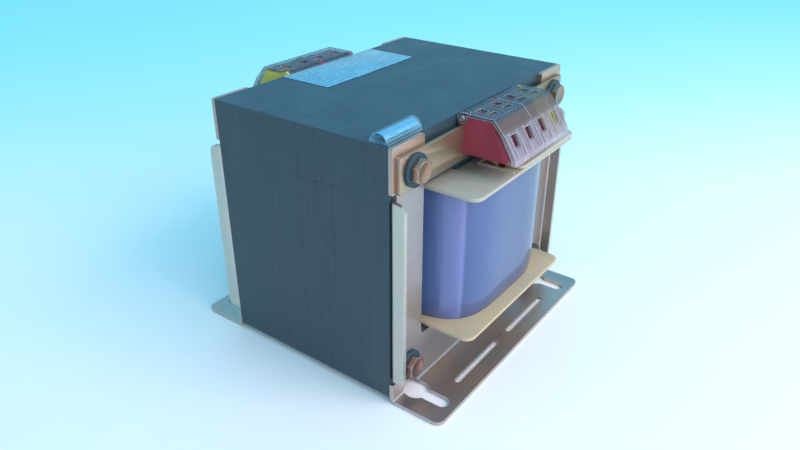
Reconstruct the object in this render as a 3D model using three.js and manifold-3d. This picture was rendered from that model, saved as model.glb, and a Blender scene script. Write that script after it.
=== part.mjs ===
// Foot-mounted control transformer: an EI core between two sheet-metal foot brackets, one coil on the
// centre leg, and a touch-safe screw terminal block on a rail at the front and at the rear.
// Millimetres, +Z up. The origin lies on the mounting plane, under the middle of the core.
// X runs along the feet and Y through the lamination stack, and the front terminals face -Y.
// Whatever the two sides share is drawn once for the front; half a turn about Z makes the rear.

import * as THREE from "three";
import { mergeVertices } from "three/addons/utils/BufferGeometryUtils.js";
import Module from "manifold-3d";

// ---- Driving dimensions -------------------------------------------------------------------------

// EI lamination: the width sets everything else, as in every standard EI size.
const CORE_WIDTH = 150;
const CORE_HEIGHT = (CORE_WIDTH * 5) / 6;
const LEG = CORE_WIDTH / 6;
const STACK = 100;
const CORE_BASE = 3.5;
const CORE_TOP = CORE_BASE + CORE_HEIGHT;
const BOLT_X = (CORE_WIDTH - LEG) / 2;
const BOLT_Z = [CORE_BASE + LEG / 2, CORE_TOP - LEG / 2];
const BOLT_HOLE = 3.7;
const FACE_Y = -STACK / 2;

// Foot bracket, folded from one blank.
const SHEET = 2;
const BEND_INSIDE = 1.5;
const FOOT_END_Y = -78;
const UPRIGHT_WIDTH = 22;
const BAND_TOP = CORE_BASE + LEG - 1;
const HEM_FRONT_Y = -57.8;
const HEM_Z = [13.5, 105];
const RELIEF_Z = [11, 108.3];
const KEYHOLE = { x: 61.5, y: -56, radius: 6.25, slotRadius: 3.5, slotEndY: -70.6 };
const LONG_SLOT = { inner: 4.8, outer: 45.9, y: -68.3, radius: 1.5 };

// Bobbin and the layers wound on it. A layer's numbers are its depths over the bobbin tube; the outer
// layers bulge, so their outlines are superellipses with the given half-widths.
const TUBE_INSIDE = { x: LEG + 0.3, y: STACK / 2 + 0.4 };
const TUBE_WALL = 1.5;
const FLANGE = { x: 47.6, y: 75.4, corner: 5, thickness: 1.8 };
const BOBBIN_Z = [28.8, 102.2];
const PRIMARY_DEPTH = [0.2, 8.2];
const INSULATION_DEPTH = [8.4, 9.2];
const SECONDARY_DEPTH = 9.4;
const COIL = { x: 46.2, y: 69.5, wrap: 1.2, exponent: 4.3 };
const LEAD_WINDOW = { x: [-12, 10], y: [-67, -54.5] };
const LEAD_PLATE = { x: [-9, 47.8], y: [-75.6, -54.5], z: [102.4, 104.2] };

// Core fasteners, M6.
const SHANK = 3;
const NUT_FLATS = 10;
const NUT_HEIGHT = 5;
const HEAD_HEIGHT = 3.5;
const BOLT_STUB = 2;
const INSULATING_WASHER = { radius: 7.4, thickness: 1.5 };
const BOLT_CLEARANCE = 0.3;

// Terminal rail and block. Poles are counted from -X, and the fourth is the earth pole.
const RAIL = { x: 72.7, z: [107.5, 124], thickness: 2 };
const RAIL_FRONT_Y = FACE_Y - SHEET - RAIL.thickness;
const PITCH = 12.6;
const POLES = [-1.5, -0.5, 0.5, 1.5].map((step) => step * PITCH);
const BLOCK_X = 26;
const EARTH_JOINT_X = 13;
const END_PLATE = 1.8;
const BLOCK_BACK_Y = RAIL_FRONT_Y - 0.1;
const BLOCK_PROFILE = { bottom: 111.2, top: 128, frontBottom: -76.4, frontTop: -66.6 };
const END_EAR = [-BLOCK_X + 1.6, -BLOCK_X + 3.1];
const MIDDLE_EAR = [-1, 1];
const HINGE = { y: -53, z: 127.2, rod: 1, ear: 2, knuckle: 2.4 };
const SCREW_Y = -58.8;
const CELL = { x: 3.9, y: [-62.1, -55.5], z: [115.5, 125.4] };
const CAGE = { x: 3.6, length: 6, z: [115.8, 123.4], aperture: { x: 2.4, z: [117, 121.7] } };
const CLAMP_SCREW = { shank: 1.7, head: 2.4, tip: 121.3, seat: 125.3, top: 127.4 };
const SCREW_SHAFT = 2.6;
const PROBE_WELL = { x: 2.2, y: [-65, -63.6], depth: 2.5 };
const LEAD_HOLE = 1.5;
const SCREW_SOCKET = { radius: 1.3, depth: 5, railHole: 1.7 };
const WIRE_ENTRY = { x: 2.7, z: [116.5, 122.1] };
const BLOCK_SCREWS = [-PITCH, 0, POLES[3]];
const BLOCK_SCREW_Z = 113.5;
const EARTH_LINK = { x: [POLES[3] - 2.7, POLES[3] + 2.7], depth: 0.9 };

// Clear hinged cover over each pair of poles.
const COVER = {
  sheet: 1.3, top: 129.6, frontTop: -68.4, ridge: [-73.6, 123.9],
  foot: [-79.6, 113.2], lip: [-80.4, 110.9], window: { x: 2.8, z: [116.7, 122.5] },
  screwHole: 4.6, probeSlot: { x: 2.8, y: [-65.4, -63] }, rib: { width: 1.4, height: 0.8 },
};
const SEAM = 0.15;

// Rating label and the clip-on marker, both on top of the core.
const LABEL = { x: [-31, 39], y: [19.5, 49.3], thickness: 0.2 };
const MARKER = { x: [-74.3, -50.6], y: -44.5, halfWidth: 4.6, wall: 0.7, height: 5.2 };

const GAP = 0.1;

// ---- Geometry helpers ---------------------------------------------------------------------------

const wasm = await Module();
wasm.setup();

const FULL_TURN = Math.PI * 2;

function arc(u, v, radius, from, to, steps) {
  return Array.from({ length: steps + 1 }, (_, i) => {
    const angle = from + ((to - from) * i) / steps;
    return [u + radius * Math.cos(angle), v + radius * Math.sin(angle)];
  });
}

const circle = (u, v, radius, sides = 16) => arc(u, v, radius, 0, FULL_TURN, sides).slice(0, -1);

// A hexagon with a corner at the top.
const hexagon = (u, v, flats) => {
  const radius = flats / 2 / Math.cos(Math.PI / 6);
  return arc(u, v, radius, Math.PI / 6, Math.PI / 6 + FULL_TURN, 6).slice(0, 6);
};

// Corners in order: low-low, high-low, high-high, low-high, each with its own radius.
function roundedRectangle([u0, u1], [v0, v1], radii, steps = 4) {
  const corners = [[u0, v0, 1, 1], [u1, v0, -1, 1], [u1, v1, -1, -1], [u0, v1, 1, -1]];
  return corners.flatMap(([u, v, inU, inV], i) => {
    const radius = Array.isArray(radii) ? radii[i] : radii;
    if (radius === 0) return [[u, v]];
    const start = Math.PI + (i * Math.PI) / 2;
    return arc(u + inU * radius, v + inV * radius, radius, start, start + Math.PI / 2, steps);
  });
}

function slot(u0, u1, v, radius, steps = 6) {
  return [
    ...arc(u0, v, radius, Math.PI / 2, (3 * Math.PI) / 2, steps),
    ...arc(u1, v, radius, -Math.PI / 2, Math.PI / 2, steps),
  ];
}

// Only positions are kept, with shared corners merged, so that every piece is one closed surface.
function bare(geometry) {
  geometry.deleteAttribute("normal");
  geometry.deleteAttribute("uv");
  geometry.clearGroups();
  return mergeVertices(geometry);
}

// Extrudes an outline along an axis. Outlines are (y, z) along x, (x, z) along y and (x, y) along z.
function extrude(axis, outline, [from, to], holes = []) {
  const points = (list) => list.map(([u, v]) => new THREE.Vector2(u, v));
  const shape = new THREE.Shape(points(outline));
  shape.holes = holes.map((hole) => new THREE.Path(points(hole)));
  const geometry = new THREE.ExtrudeGeometry(shape, { depth: to - from, bevelEnabled: false });
  const [x, y, z] = [[1, 0, 0], [0, 1, 0], [0, 0, 1]].map((v) => new THREE.Vector3(...v));
  const place = {
    x: new THREE.Matrix4().makeBasis(y, z, x).setPosition(from, 0, 0),
    y: new THREE.Matrix4().makeBasis(x, z, y.clone().negate()).setPosition(0, to, 0),
    z: new THREE.Matrix4().setPosition(0, 0, from),
  };
  return bare(geometry.applyMatrix4(place[axis]));
}

const box = (x, y, z) => extrude("z", roundedRectangle(x, y, 0), z);

function toManifold(geometry) {
  return new wasm.Manifold(new wasm.Mesh({
    numProp: 3,
    vertProperties: new Float32Array(geometry.attributes.position.array),
    triVerts: new Uint32Array(geometry.index.array),
  }));
}

function fromManifold(manifold) {
  const mesh = manifold.getMesh();
  const geometry = new THREE.BufferGeometry();
  geometry.setAttribute("position", new THREE.BufferAttribute(mesh.vertProperties, 3));
  geometry.setIndex(new THREE.BufferAttribute(mesh.triVerts, 1));
  return geometry;
}

const combine = (step, first, others) =>
  fromManifold(others.map(toManifold).reduce((all, next) => all[step](next), toManifold(first)));
const join = (first, ...others) => combine("add", first, others);
const cut = (first, ...others) => combine("subtract", first, others);
const common = (first, ...others) => combine("intersect", first, others);

const rearOf = (geometry) => geometry.clone().scale(-1, -1, 1);

// ---- Scene graph --------------------------------------------------------------------------------

const FINISHES = {
  varnished_steel: [0x3b4a55, 0.55, 0.35],
  chromated_steel: [0xa9a39a, 0.35, 0.85],
  cream_plastic: [0xd6d2b4, 0.5, 0],
  copper: [0xb5703a, 0.4, 0.7],
  insulation_film: [0xcdbf8e, 0.5, 0],
  blue_film: [0x5a6ec0, 0.25, 0],
  black_fibre: [0x1d2326, 0.7, 0],
  yellow_steel: [0xb58a4c, 0.35, 0.8],
  red_plastic: [0x9a2b45, 0.45, 0],
  green_yellow_plastic: [0x9fae3a, 0.45, 0],
  clear_plastic: [0xdfe6f0, 0.1, 0],
  brass: [0xc8923f, 0.35, 0.85],
  paper: [0xa9cfe6, 0.6, 0],
};

const transformer = new THREE.Group();

function add(name, finish, geometry) {
  const [color, roughness, metalness] = FINISHES[finish];
  const material = new THREE.MeshStandardMaterial({ color, roughness, metalness, flatShading: true });
  if (finish === "clear_plastic") Object.assign(material, { transparent: true, opacity: 0.35 });
  const mesh = new THREE.Mesh(geometry, material);
  mesh.name = name;
  transformer.add(mesh);
}

function addBoth(name, finish, geometry) {
  add(`front_${name}`, finish, geometry);
  add(`rear_${name}`, finish, rearOf(geometry));
}

const BOLTS = [-BOLT_X, BOLT_X].flatMap((x) => BOLT_Z.map((z) => [x, z]));

// ---- Core ---------------------------------------------------------------------------------------

function eStack() {
  const yoke = CORE_BASE + LEG;
  const tips = CORE_TOP - LEG;
  const side = CORE_WIDTH / 2;
  const right = [
    [side, CORE_BASE], [side, tips], [side - LEG, tips], [side - LEG, yoke], [LEG, yoke], [LEG, tips],
  ];
  const left = right.map(([x, z]) => [-x, z]).reverse();
  const holes = [-BOLT_X, BOLT_X].map((x) => circle(x, BOLT_Z[0], BOLT_HOLE));
  return extrude("y", [...right, ...left], [FACE_Y, -FACE_Y], holes);
}

function iStack() {
  const side = CORE_WIDTH / 2;
  const outline = roundedRectangle([-side, side], [CORE_TOP - LEG + GAP, CORE_TOP], 0);
  const holes = [-BOLT_X, BOLT_X].map((x) => circle(x, BOLT_Z[1], BOLT_HOLE));
  return extrude("y", outline, [FACE_Y, -FACE_Y], holes);
}

// ---- Coil ---------------------------------------------------------------------------------------

// A rounded rectangle that lies a given depth over the bobbin tube.
function turnOutline(depth, corner) {
  const x = TUBE_INSIDE.x + TUBE_WALL + depth;
  const y = TUBE_INSIDE.y + TUBE_WALL + depth;
  return roundedRectangle([-x, x], [-y, y], corner, 5);
}

// The bulged outline of the full coil, drawn in by a margin.
function bulgedOutline(margin) {
  const power = 2 / COIL.exponent;
  const bulge = (value, halfWidth) => Math.sign(value) * Math.abs(value) ** power * (halfWidth - margin);
  const steps = 48;
  return Array.from({ length: steps }, (_, i) => {
    const angle = (FULL_TURN * (i + 0.5)) / steps;
    return [bulge(Math.cos(angle), COIL.x), bulge(Math.sin(angle), COIL.y)];
  });
}

function layer(outer, inner) {
  const z = [BOBBIN_Z[0] + FLANGE.thickness + GAP, BOBBIN_Z[1] - FLANGE.thickness - GAP];
  return extrude("z", outer, z, [inner]);
}

const evenLayer = ([inner, outer]) => layer(turnOutline(outer, outer), turnOutline(inner, inner));
const secondary = () => (
  layer(bulgedOutline(COIL.wrap + 0.3), turnOutline(SECONDARY_DEPTH, SECONDARY_DEPTH))
);
const outerWrap = () => layer(bulgedOutline(0), bulgedOutline(COIL.wrap));

function bobbin() {
  const bore = roundedRectangle([-TUBE_INSIDE.x, TUBE_INSIDE.x], [-TUBE_INSIDE.y, TUBE_INSIDE.y], 0);
  const plate = roundedRectangle([-FLANGE.x, FLANGE.x], [-FLANGE.y, FLANGE.y], FLANGE.corner);
  const window = roundedRectangle(LEAD_WINDOW.x, LEAD_WINDOW.y, 0);
  const rearWindow = window.map(([x, y]) => [-x, -y]);
  const lower = extrude("z", plate, [BOBBIN_Z[0], BOBBIN_Z[0] + FLANGE.thickness], [bore]);
  const top = [BOBBIN_Z[1] - FLANGE.thickness, BOBBIN_Z[1]];
  const upper = extrude("z", plate, top, [bore, window, rearWindow]);
  return join(extrude("z", turnOutline(0, 0), BOBBIN_Z, [bore]), lower, upper);
}

function leadPlate() {
  const window = box([LEAD_PLATE.x[0] - 1, LEAD_WINDOW.x[1]], [LEAD_WINDOW.y[0], FACE_Y],
    [LEAD_PLATE.z[0] - 1, LEAD_PLATE.z[1] + 1]);
  const outline = roundedRectangle(LEAD_PLATE.x, LEAD_PLATE.y, [3, FLANGE.corner, 0, 0]);
  return cut(extrude("z", outline, LEAD_PLATE.z), window);
}

// ---- Foot bracket -------------------------------------------------------------------------------

function footBracket() {
  const side = CORE_WIDTH / 2;
  const inner = side - UPRIGHT_WIDTH;
  const bendOutside = BEND_INSIDE + SHEET;
  const plateY = [FACE_Y - SHEET, FACE_Y];
  const throughSheet = [FACE_Y - SHEET - 1, FACE_Y + 1];
  const bendStart = side - SHEET - 1;

  const rightEdge = [
    [side, bendOutside], [side, RELIEF_Z[0]], [bendStart, RELIEF_Z[0]],
    [bendStart, RELIEF_Z[1]], [side, RELIEF_Z[1]], [side, CORE_TOP], [inner, CORE_TOP],
    ...arc(inner - 3, BAND_TOP + 3, 3, 0, -Math.PI / 2, 4),
  ];
  const leftEdge = rightEdge.map(([x, z]) => [-x, z]).reverse();
  const upright = extrude("y", [...rightEdge, ...leftEdge], plateY);

  const centre = [FACE_Y - bendOutside, bendOutside];
  const fold = [
    [FACE_Y, BAND_TOP - 5],
    ...arc(...centre, bendOutside, 0, -Math.PI / 2, 5),
    [FOOT_END_Y, 0], [FOOT_END_Y, SHEET],
    ...arc(...centre, BEND_INSIDE, -Math.PI / 2, 0, 5),
    [FACE_Y - SHEET, BAND_TOP - 5],
  ];
  const plan = roundedRectangle([-side, side], [FOOT_END_Y, FACE_Y], [4, 4, 0, 0]);
  const reliefs = [-1, 1].map((s) => (
    box(s < 0 ? [-side - 1, -bendStart] : [bendStart, side + 1], throughSheet, [RELIEF_Z[0], BAND_TOP])
  ));
  const foot = cut(
    common(extrude("x", fold, [-side, side]), extrude("z", plan, [-1, BAND_TOP])), ...reliefs,
  );

  const hem = [
    [-bendStart, FACE_Y],
    ...arc(-bendStart, FACE_Y - SHEET - 1, SHEET + 1, Math.PI / 2, Math.PI, 4),
    [-side, HEM_FRONT_Y], [SHEET - side, HEM_FRONT_Y],
    ...arc(-bendStart, FACE_Y - SHEET - 1, 1, Math.PI, Math.PI / 2, 4),
  ];
  const hemSide = roundedRectangle([HEM_FRONT_Y, FACE_Y], HEM_Z, [1, 0, 0, 4]);
  const leftHem = common(extrude("z", hem, HEM_Z), extrude("x", hemSide, [-side, -bendStart + 1]));
  const mirrored = toManifold(leftHem).mirror([1, 0, 0]);

  const through = [-1, bendOutside + 0.5];
  // The round end of each keyhole lies across the fold, so it is cut from both directions.
  const keyholes = [-KEYHOLE.x, KEYHOLE.x].flatMap((x) => [
    extrude("z", circle(x, KEYHOLE.y, KEYHOLE.radius, 20), through),
    extrude("y", circle(x, 0, KEYHOLE.radius, 20), [FACE_Y - bendOutside - 0.5, FACE_Y + 1]),
    extrude("z", [
      [x - KEYHOLE.slotRadius, KEYHOLE.y], ...arc(x, KEYHOLE.slotEndY, KEYHOLE.slotRadius, -Math.PI, 0, 8),
      [x + KEYHOLE.slotRadius, KEYHOLE.y],
    ], through),
  ]);
  const longSlots = [-1, 1].map((s) => {
    const ends = [LONG_SLOT.inner + LONG_SLOT.radius, LONG_SLOT.outer - LONG_SLOT.radius];
    const [from, to] = s < 0 ? [-ends[1], -ends[0]] : ends;
    return extrude("z", slot(from, to, LONG_SLOT.y, LONG_SLOT.radius), through);
  });
  const pilot = extrude("z", circle(0, LONG_SLOT.y + 2, 1, 8), through);
  const boltHoles = BOLTS.map(([x, z]) => extrude("y", circle(x, z, SHANK + BOLT_CLEARANCE), throughSheet));
  return cut(
    join(upright, foot, leftHem, fromManifold(mirrored)), ...keyholes, ...longSlots, pilot, ...boltHoles,
  );
}

// ---- Core fasteners -----------------------------------------------------------------------------

// How far the clamped stack stands in front of the core face: the rail adds to it at the upper bolts.
const stackY = (z) => (z > CORE_HEIGHT / 2 ? RAIL_FRONT_Y : FACE_Y - SHEET);

const seatY = (z) => stackY(z) - INSULATING_WASHER.thickness;

const insulatingWasher = (x, z) => extrude("y", circle(x, z, INSULATING_WASHER.radius, 28),
  [seatY(z), stackY(z)], [circle(x, z, SHANK + 0.2, 12)]);

// Heads at the front and nuts at the rear, where the seats mirror the front ones.
function coreBolt(x, z) {
  const seat = seatY(z);
  const shank = extrude("y", circle(x, z, SHANK, 12), [seat - 1, -seat + NUT_HEIGHT + BOLT_STUB]);
  return join(shank, extrude("y", hexagon(x, z, NUT_FLATS), [seat - HEAD_HEIGHT, seat]));
}

const nut = (x, z) => extrude("y", hexagon(x, z, NUT_FLATS), [-seatY(z), -seatY(z) + NUT_HEIGHT],
  [circle(x, z, SHANK + 0.05, 12)]);

// ---- Terminal rail and block --------------------------------------------------------------------

function terminalRail() {
  const holes = [
    ...[-BOLT_X, BOLT_X].map((x) => circle(x, BOLT_Z[1], SHANK + BOLT_CLEARANCE)),
    ...BLOCK_SCREWS.map((x) => circle(x, BLOCK_SCREW_Z, SCREW_SOCKET.railHole, 8)),
  ];
  const outline = roundedRectangle([-RAIL.x, RAIL.x], RAIL.z, 1.5);
  return extrude("y", outline, [RAIL_FRONT_Y, FACE_Y - SHEET], holes);
}

// The block's cross-section, notched at the top of the back for the cover's hinge knuckles.
function blockSection(from, to) {
  const { bottom, top, frontBottom, frontTop } = BLOCK_PROFILE;
  const outline = [
    [BLOCK_BACK_Y, bottom], [BLOCK_BACK_Y, top], [frontTop, top], [frontBottom, bottom + 1],
    [frontBottom, bottom],
  ];
  const notch = extrude("x", circle(HINGE.y, HINGE.z, HINGE.knuckle + 0.3), [from - 1, to + 1]);
  return cut(extrude("x", outline, [from, to]), notch);
}

function hingeEar(from, to) {
  const reach = HINGE.knuckle + 0.6;
  const web = box([from, to], [HINGE.y - reach, HINGE.y], [HINGE.z - HINGE.ear, BLOCK_PROFILE.top]);
  const eye = extrude("x", circle(HINGE.y, HINGE.z, HINGE.ear), [from, to]);
  const bore = extrude("x", circle(HINGE.y, HINGE.z, HINGE.rod + 0.05), [from - 1, to + 1]);
  return { body: join(web, eye), bore };
}

const screwSocket = (x) => extrude("y", circle(x, BLOCK_SCREW_Z, SCREW_SOCKET.radius, 8),
  [BLOCK_BACK_Y - SCREW_SOCKET.depth, BLOCK_BACK_Y + 1]);

// What is hollowed out for one pole: clamp cell, screw shaft, wire entry, probe slot and lead hole.
const poleHollows = (x) => [
  box([x - CELL.x, x + CELL.x], CELL.y, CELL.z),
  extrude("z", circle(x, SCREW_Y, SCREW_SHAFT), [CELL.z[1] - 1, BLOCK_PROFILE.top + 1]),
  box([x - WIRE_ENTRY.x, x + WIRE_ENTRY.x], [-80, CELL.y[0] + 1], WIRE_ENTRY.z),
  box([x - PROBE_WELL.x, x + PROBE_WELL.x], PROBE_WELL.y,
    [BLOCK_PROFILE.top - PROBE_WELL.depth, BLOCK_PROFILE.top + 1]),
  extrude("z", circle(x, SCREW_Y, LEAD_HOLE, 8), [BLOCK_PROFILE.bottom - 1, CELL.z[0] + 1]),
];

function terminalHousing() {
  const end = EARTH_JOINT_X - GAP / 2;
  const ears = [END_EAR, MIDDLE_EAR].map(([from, to]) => hingeEar(from, to));
  return cut(
    join(blockSection(-BLOCK_X, end), ...ears.map((ear) => ear.body)),
    ...ears.map((ear) => ear.bore),
    ...POLES.slice(0, 3).flatMap(poleHollows),
    ...BLOCK_SCREWS.slice(0, 2).map(screwSocket),
  );
}

// The recess under the clamp and down the back takes the strip that earths this pole to the rail.
function earthHousing() {
  const { x, depth } = EARTH_LINK;
  const outside = BLOCK_BACK_Y + 1;
  return cut(
    blockSection(EARTH_JOINT_X + GAP / 2, BLOCK_X - END_PLATE - GAP / 2),
    ...poleHollows(POLES[3]),
    box(x, [CELL.y[0], outside], [CELL.z[0] - depth, CELL.z[0] + GAP]),
    box(x, [BLOCK_BACK_Y - depth, outside], [BLOCK_PROFILE.bottom - 1, CELL.z[0]]),
    screwSocket(BLOCK_SCREWS[2]),
  );
}

function endPlate() {
  const from = BLOCK_X - END_PLATE + GAP / 2;
  const ear = hingeEar(from, BLOCK_X);
  return cut(join(blockSection(from, BLOCK_X), ear.body), ear.bore);
}

function clampScrew(x) {
  const { shank, head, tip, seat, top } = CLAMP_SCREW;
  const profile = [[0, tip], [shank - 0.4, tip], [shank, tip + 0.4], [shank, seat], [head, seat],
    [head, top - 0.3], [head - 0.3, top], [0, top]];
  const body = new THREE.LatheGeometry(profile.map(([r, z]) => new THREE.Vector2(r, z)), 14);
  const slotCut = box([x - 3, x + 3], [SCREW_Y - 0.4, SCREW_Y + 0.4], [top - 1, top + 1]);
  return cut(bare(body.rotateX(Math.PI / 2).translate(x, SCREW_Y, 0)), slotCut);
}

function clampCage(x) {
  const y = [SCREW_Y - CAGE.length / 2, SCREW_Y + CAGE.length / 2];
  const frame = extrude("y", roundedRectangle([x - CAGE.x, x + CAGE.x], CAGE.z, 0.6, 1), y, [
    roundedRectangle([x - CAGE.aperture.x, x + CAGE.aperture.x], CAGE.aperture.z, 0),
  ]);
  const thread = circle(x, SCREW_Y, CLAMP_SCREW.shank + 0.15, 14);
  return cut(frame, extrude("z", thread, [CAGE.aperture.z[1] - 1, CAGE.z[1] + 1]));
}

// ---- Clear covers -------------------------------------------------------------------------------

// One cover spans two poles: top with screwdriver holes, upper slope, lower slope with wire windows.
function cover(from, to, poles, ears) {
  const { sheet, top, frontTop, ridge, foot, lip, window, rib } = COVER;
  const outline = [
    [HINGE.y, top], [frontTop, top], ridge, foot, [lip[0], foot[1]], lip, [lip[0] + sheet + 0.7, lip[1]],
    [foot[0] + sheet * 1.1, foot[1]], [ridge[0] + sheet * 1.1, ridge[1] - sheet * 0.4],
    [frontTop + sheet * 0.6, top - sheet], [HINGE.y, top - sheet],
  ].reverse();
  const knuckles = extrude("x", circle(HINGE.y, HINGE.z, HINGE.knuckle), [from, to]);
  const bore = extrude("x", circle(HINGE.y, HINGE.z, HINGE.rod + 0.08), [from - 1, to + 1]);
  const clearOfEar = ([a, b]) => (
    box([a - 0.2, b + 0.2], [HINGE.y - HINGE.ear - 0.6, HINGE.y + 4], [top - 6, top + 1])
  );
  const proud = [
    [ridge[0], ridge[1]], [ridge[0] - rib.height, ridge[1] - 0.5], [foot[0] - 0.7, foot[1] + 0.5],
    foot, [foot[0] + sheet, foot[1]], [ridge[0] + sheet, ridge[1] - sheet],
  ];
  const ribAt = (x) => extrude("x", proud, [x, x + rib.width]);
  const ribs = [from, (from + to - rib.width) / 2, to - rib.width].map(ribAt);
  const halfHole = COVER.screwHole / 2;
  const holes = poles.flatMap((x) => [
    box([x - window.x, x + window.x], [-90, -70], window.z),
    box([x - halfHole, x + halfHole], [SCREW_Y - halfHole, SCREW_Y + halfHole], [top - 3, top + 1]),
    box([x - COVER.probeSlot.x, x + COVER.probeSlot.x], COVER.probeSlot.y, [top - 3, top + 1]),
  ]);
  const body = join(extrude("x", outline, [from, to]), knuckles, ...ribs);
  return cut(body, bore, ...ears.map(clearOfEar), ...holes);
}

// ---- Label and marker ---------------------------------------------------------------------------

// A half-round marker carrier with a flat foot and open ends, and the printed strip that slides in it.
function archOutline(inset) {
  const halfWidth = MARKER.halfWidth - inset;
  const height = MARKER.height - inset;
  const steps = 12;
  return Array.from({ length: steps + 1 }, (_, i) => {
    const angle = (Math.PI * i) / steps;
    return [MARKER.y + halfWidth * Math.cos(angle), CORE_TOP + height * Math.sin(angle)];
  });
}

function markerCarrier() {
  const floor = CORE_TOP + MARKER.wall;
  const hollow = archOutline(MARKER.wall).filter(([, z]) => z > floor);
  return extrude("x", archOutline(0), MARKER.x, [hollow]);
}

function markerInsert() {
  const inset = MARKER.wall + 0.15;
  const floor = CORE_TOP + MARKER.wall + 1;
  const outer = archOutline(inset).filter(([, z]) => z > floor);
  const inner = archOutline(inset + 0.4).filter(([, z]) => z > floor);
  return extrude("x", [...outer, ...inner.reverse()], [MARKER.x[0] + 0.6, MARKER.x[1] - 0.6]);
}

// ---- Assembly -----------------------------------------------------------------------------------

add("core_e_stack", "varnished_steel", eStack());
add("core_i_stack", "varnished_steel", iStack());
add("bobbin", "cream_plastic", bobbin());
add("primary_winding", "copper", evenLayer(PRIMARY_DEPTH));
add("interwinding_insulation", "insulation_film", evenLayer(INSULATION_DEPTH));
add("secondary_winding", "copper", secondary());
add("outer_wrap", "blue_film", outerWrap());
addBoth("lead_plate", "cream_plastic", leadPlate());

addBoth("foot_bracket", "chromated_steel", footBracket());
addBoth("terminal_rail", "chromated_steel", terminalRail());

BOLTS.forEach(([x, z], i) => {
  add(`core_bolt_${i + 1}`, "yellow_steel", coreBolt(x, z));
  add(`core_nut_${i + 1}`, "yellow_steel", nut(x, z));
  addBoth(`washer_${i + 1}`, "black_fibre", insulatingWasher(x, z));
});

addBoth("terminal_housing", "red_plastic", terminalHousing());
addBoth("earth_housing", "green_yellow_plastic", earthHousing());
addBoth("end_plate", "green_yellow_plastic", endPlate());
addBoth("hinge_rod", "chromated_steel",
  extrude("x", circle(HINGE.y, HINGE.z, HINGE.rod), [-BLOCK_X, BLOCK_X]));
POLES.forEach((x, i) => {
  addBoth(`clamp_screw_${i + 1}`, "yellow_steel", clampScrew(x));
  addBoth(`clamp_cage_${i + 1}`, "brass", clampCage(x));
});
addBoth("cover_12", "clear_plastic",
  cover(-BLOCK_X, -SEAM, POLES.slice(0, 2), [END_EAR, MIDDLE_EAR]));
addBoth("cover_34", "clear_plastic",
  cover(SEAM, BLOCK_X, POLES.slice(2), [MIDDLE_EAR, [BLOCK_X - END_PLATE, BLOCK_X]]));

add("rating_label", "paper", box(LABEL.x, LABEL.y, [CORE_TOP, CORE_TOP + LABEL.thickness]));
add("marker_carrier", "clear_plastic", markerCarrier());
add("marker_insert", "paper", markerInsert());

export default transformer;
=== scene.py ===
"""Looks of the foot-mounted control transformer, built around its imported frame.

Pieces are drawn in millimetres in the frame's own axes and turned into metres as they are placed. What
the front and the rear share is drawn once for the front (-Y) and turned half a turn about Z for the rear.
"""

import math
import random

import bmesh
import bpy
from mathutils import Matrix, Quaternion, Vector, noise


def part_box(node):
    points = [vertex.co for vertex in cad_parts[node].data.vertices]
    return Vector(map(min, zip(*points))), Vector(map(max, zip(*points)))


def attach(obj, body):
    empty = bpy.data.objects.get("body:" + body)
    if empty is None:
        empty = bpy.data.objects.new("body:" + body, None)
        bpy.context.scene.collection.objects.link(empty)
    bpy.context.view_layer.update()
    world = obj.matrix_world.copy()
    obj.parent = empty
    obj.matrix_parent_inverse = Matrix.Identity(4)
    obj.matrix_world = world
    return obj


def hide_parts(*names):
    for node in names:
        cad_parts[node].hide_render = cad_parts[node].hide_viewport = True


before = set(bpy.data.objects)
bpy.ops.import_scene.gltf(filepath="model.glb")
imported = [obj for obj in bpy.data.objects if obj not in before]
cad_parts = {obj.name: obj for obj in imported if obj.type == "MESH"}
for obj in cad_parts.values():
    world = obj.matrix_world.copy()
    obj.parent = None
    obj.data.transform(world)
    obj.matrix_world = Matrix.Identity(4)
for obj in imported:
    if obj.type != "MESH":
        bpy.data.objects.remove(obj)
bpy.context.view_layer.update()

MM = 0.001
SIDES = {"front": Matrix.Identity(4), "rear": Matrix.Rotation(math.pi, 4, "Z")}
RANDOM = random.Random(11)


def span(node):
    """A CAD node's extent, as (low, high) in millimetres along x, y and z."""
    low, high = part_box(node)
    return [(low[i] / MM, high[i] / MM) for i in range(3)]


def middle(pair):
    return (pair[0] + pair[1]) / 2


# ---- Sizes: what the frame gives, then the details it doesn't hold ------------------------------------

CORE_X, CORE_Y, E_Z = span("core_e_stack")
CORE_TOP = span("core_i_stack")[2][1]
LEG = (CORE_X[1] - CORE_X[0]) / 6
FACE_Y = CORE_Y[0]
BOLT_X = CORE_X[1] - LEG / 2
BOLT_Z = (E_Z[0] + LEG / 2, CORE_TOP - LEG / 2)

BRACKET_X, BRACKET_Y = span("front_foot_bracket")[:2]
RAIL_X, RAIL_Y, RAIL_Z = span("front_terminal_rail")
SHEET = RAIL_Y[1] - RAIL_Y[0]
BEND = 1.5
UPRIGHT_WIDTH = 22
BAND_TOP = E_Z[0] + LEG - 1
HEM_FRONT_Y = -57.8
HEM_Z = (13.5, 105)
CORE_HOLE = 3.7
SHANK_HOLE = 3.3
SCREW_HOLE = 1.7
RELIEF_Z = (11, 108.3)
KEYHOLE = {"x": 61.5, "y": -56, "head": 6.25, "slot": 3.5, "end": -70.6}
LONG_SLOT = {"inner": 4.8, "outer": 45.9, "y": -68.3, "radius": 1.5}

FLANGE_X, FLANGE_Y, BOBBIN_Z = span("bobbin")
FLANGE_SHEET = 1.8
FLANGE_CORNER = 5
FLANGE_ROUNDING = 0.45
TUBE_WALL = 1.5
LEAD_WINDOW = ((-12, 10), (-67, -54.5))
COIL_X, COIL_Y, COIL_Z = span("outer_wrap")
COIL_EXPONENT = 4.3
TAPE = 1.2

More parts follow.
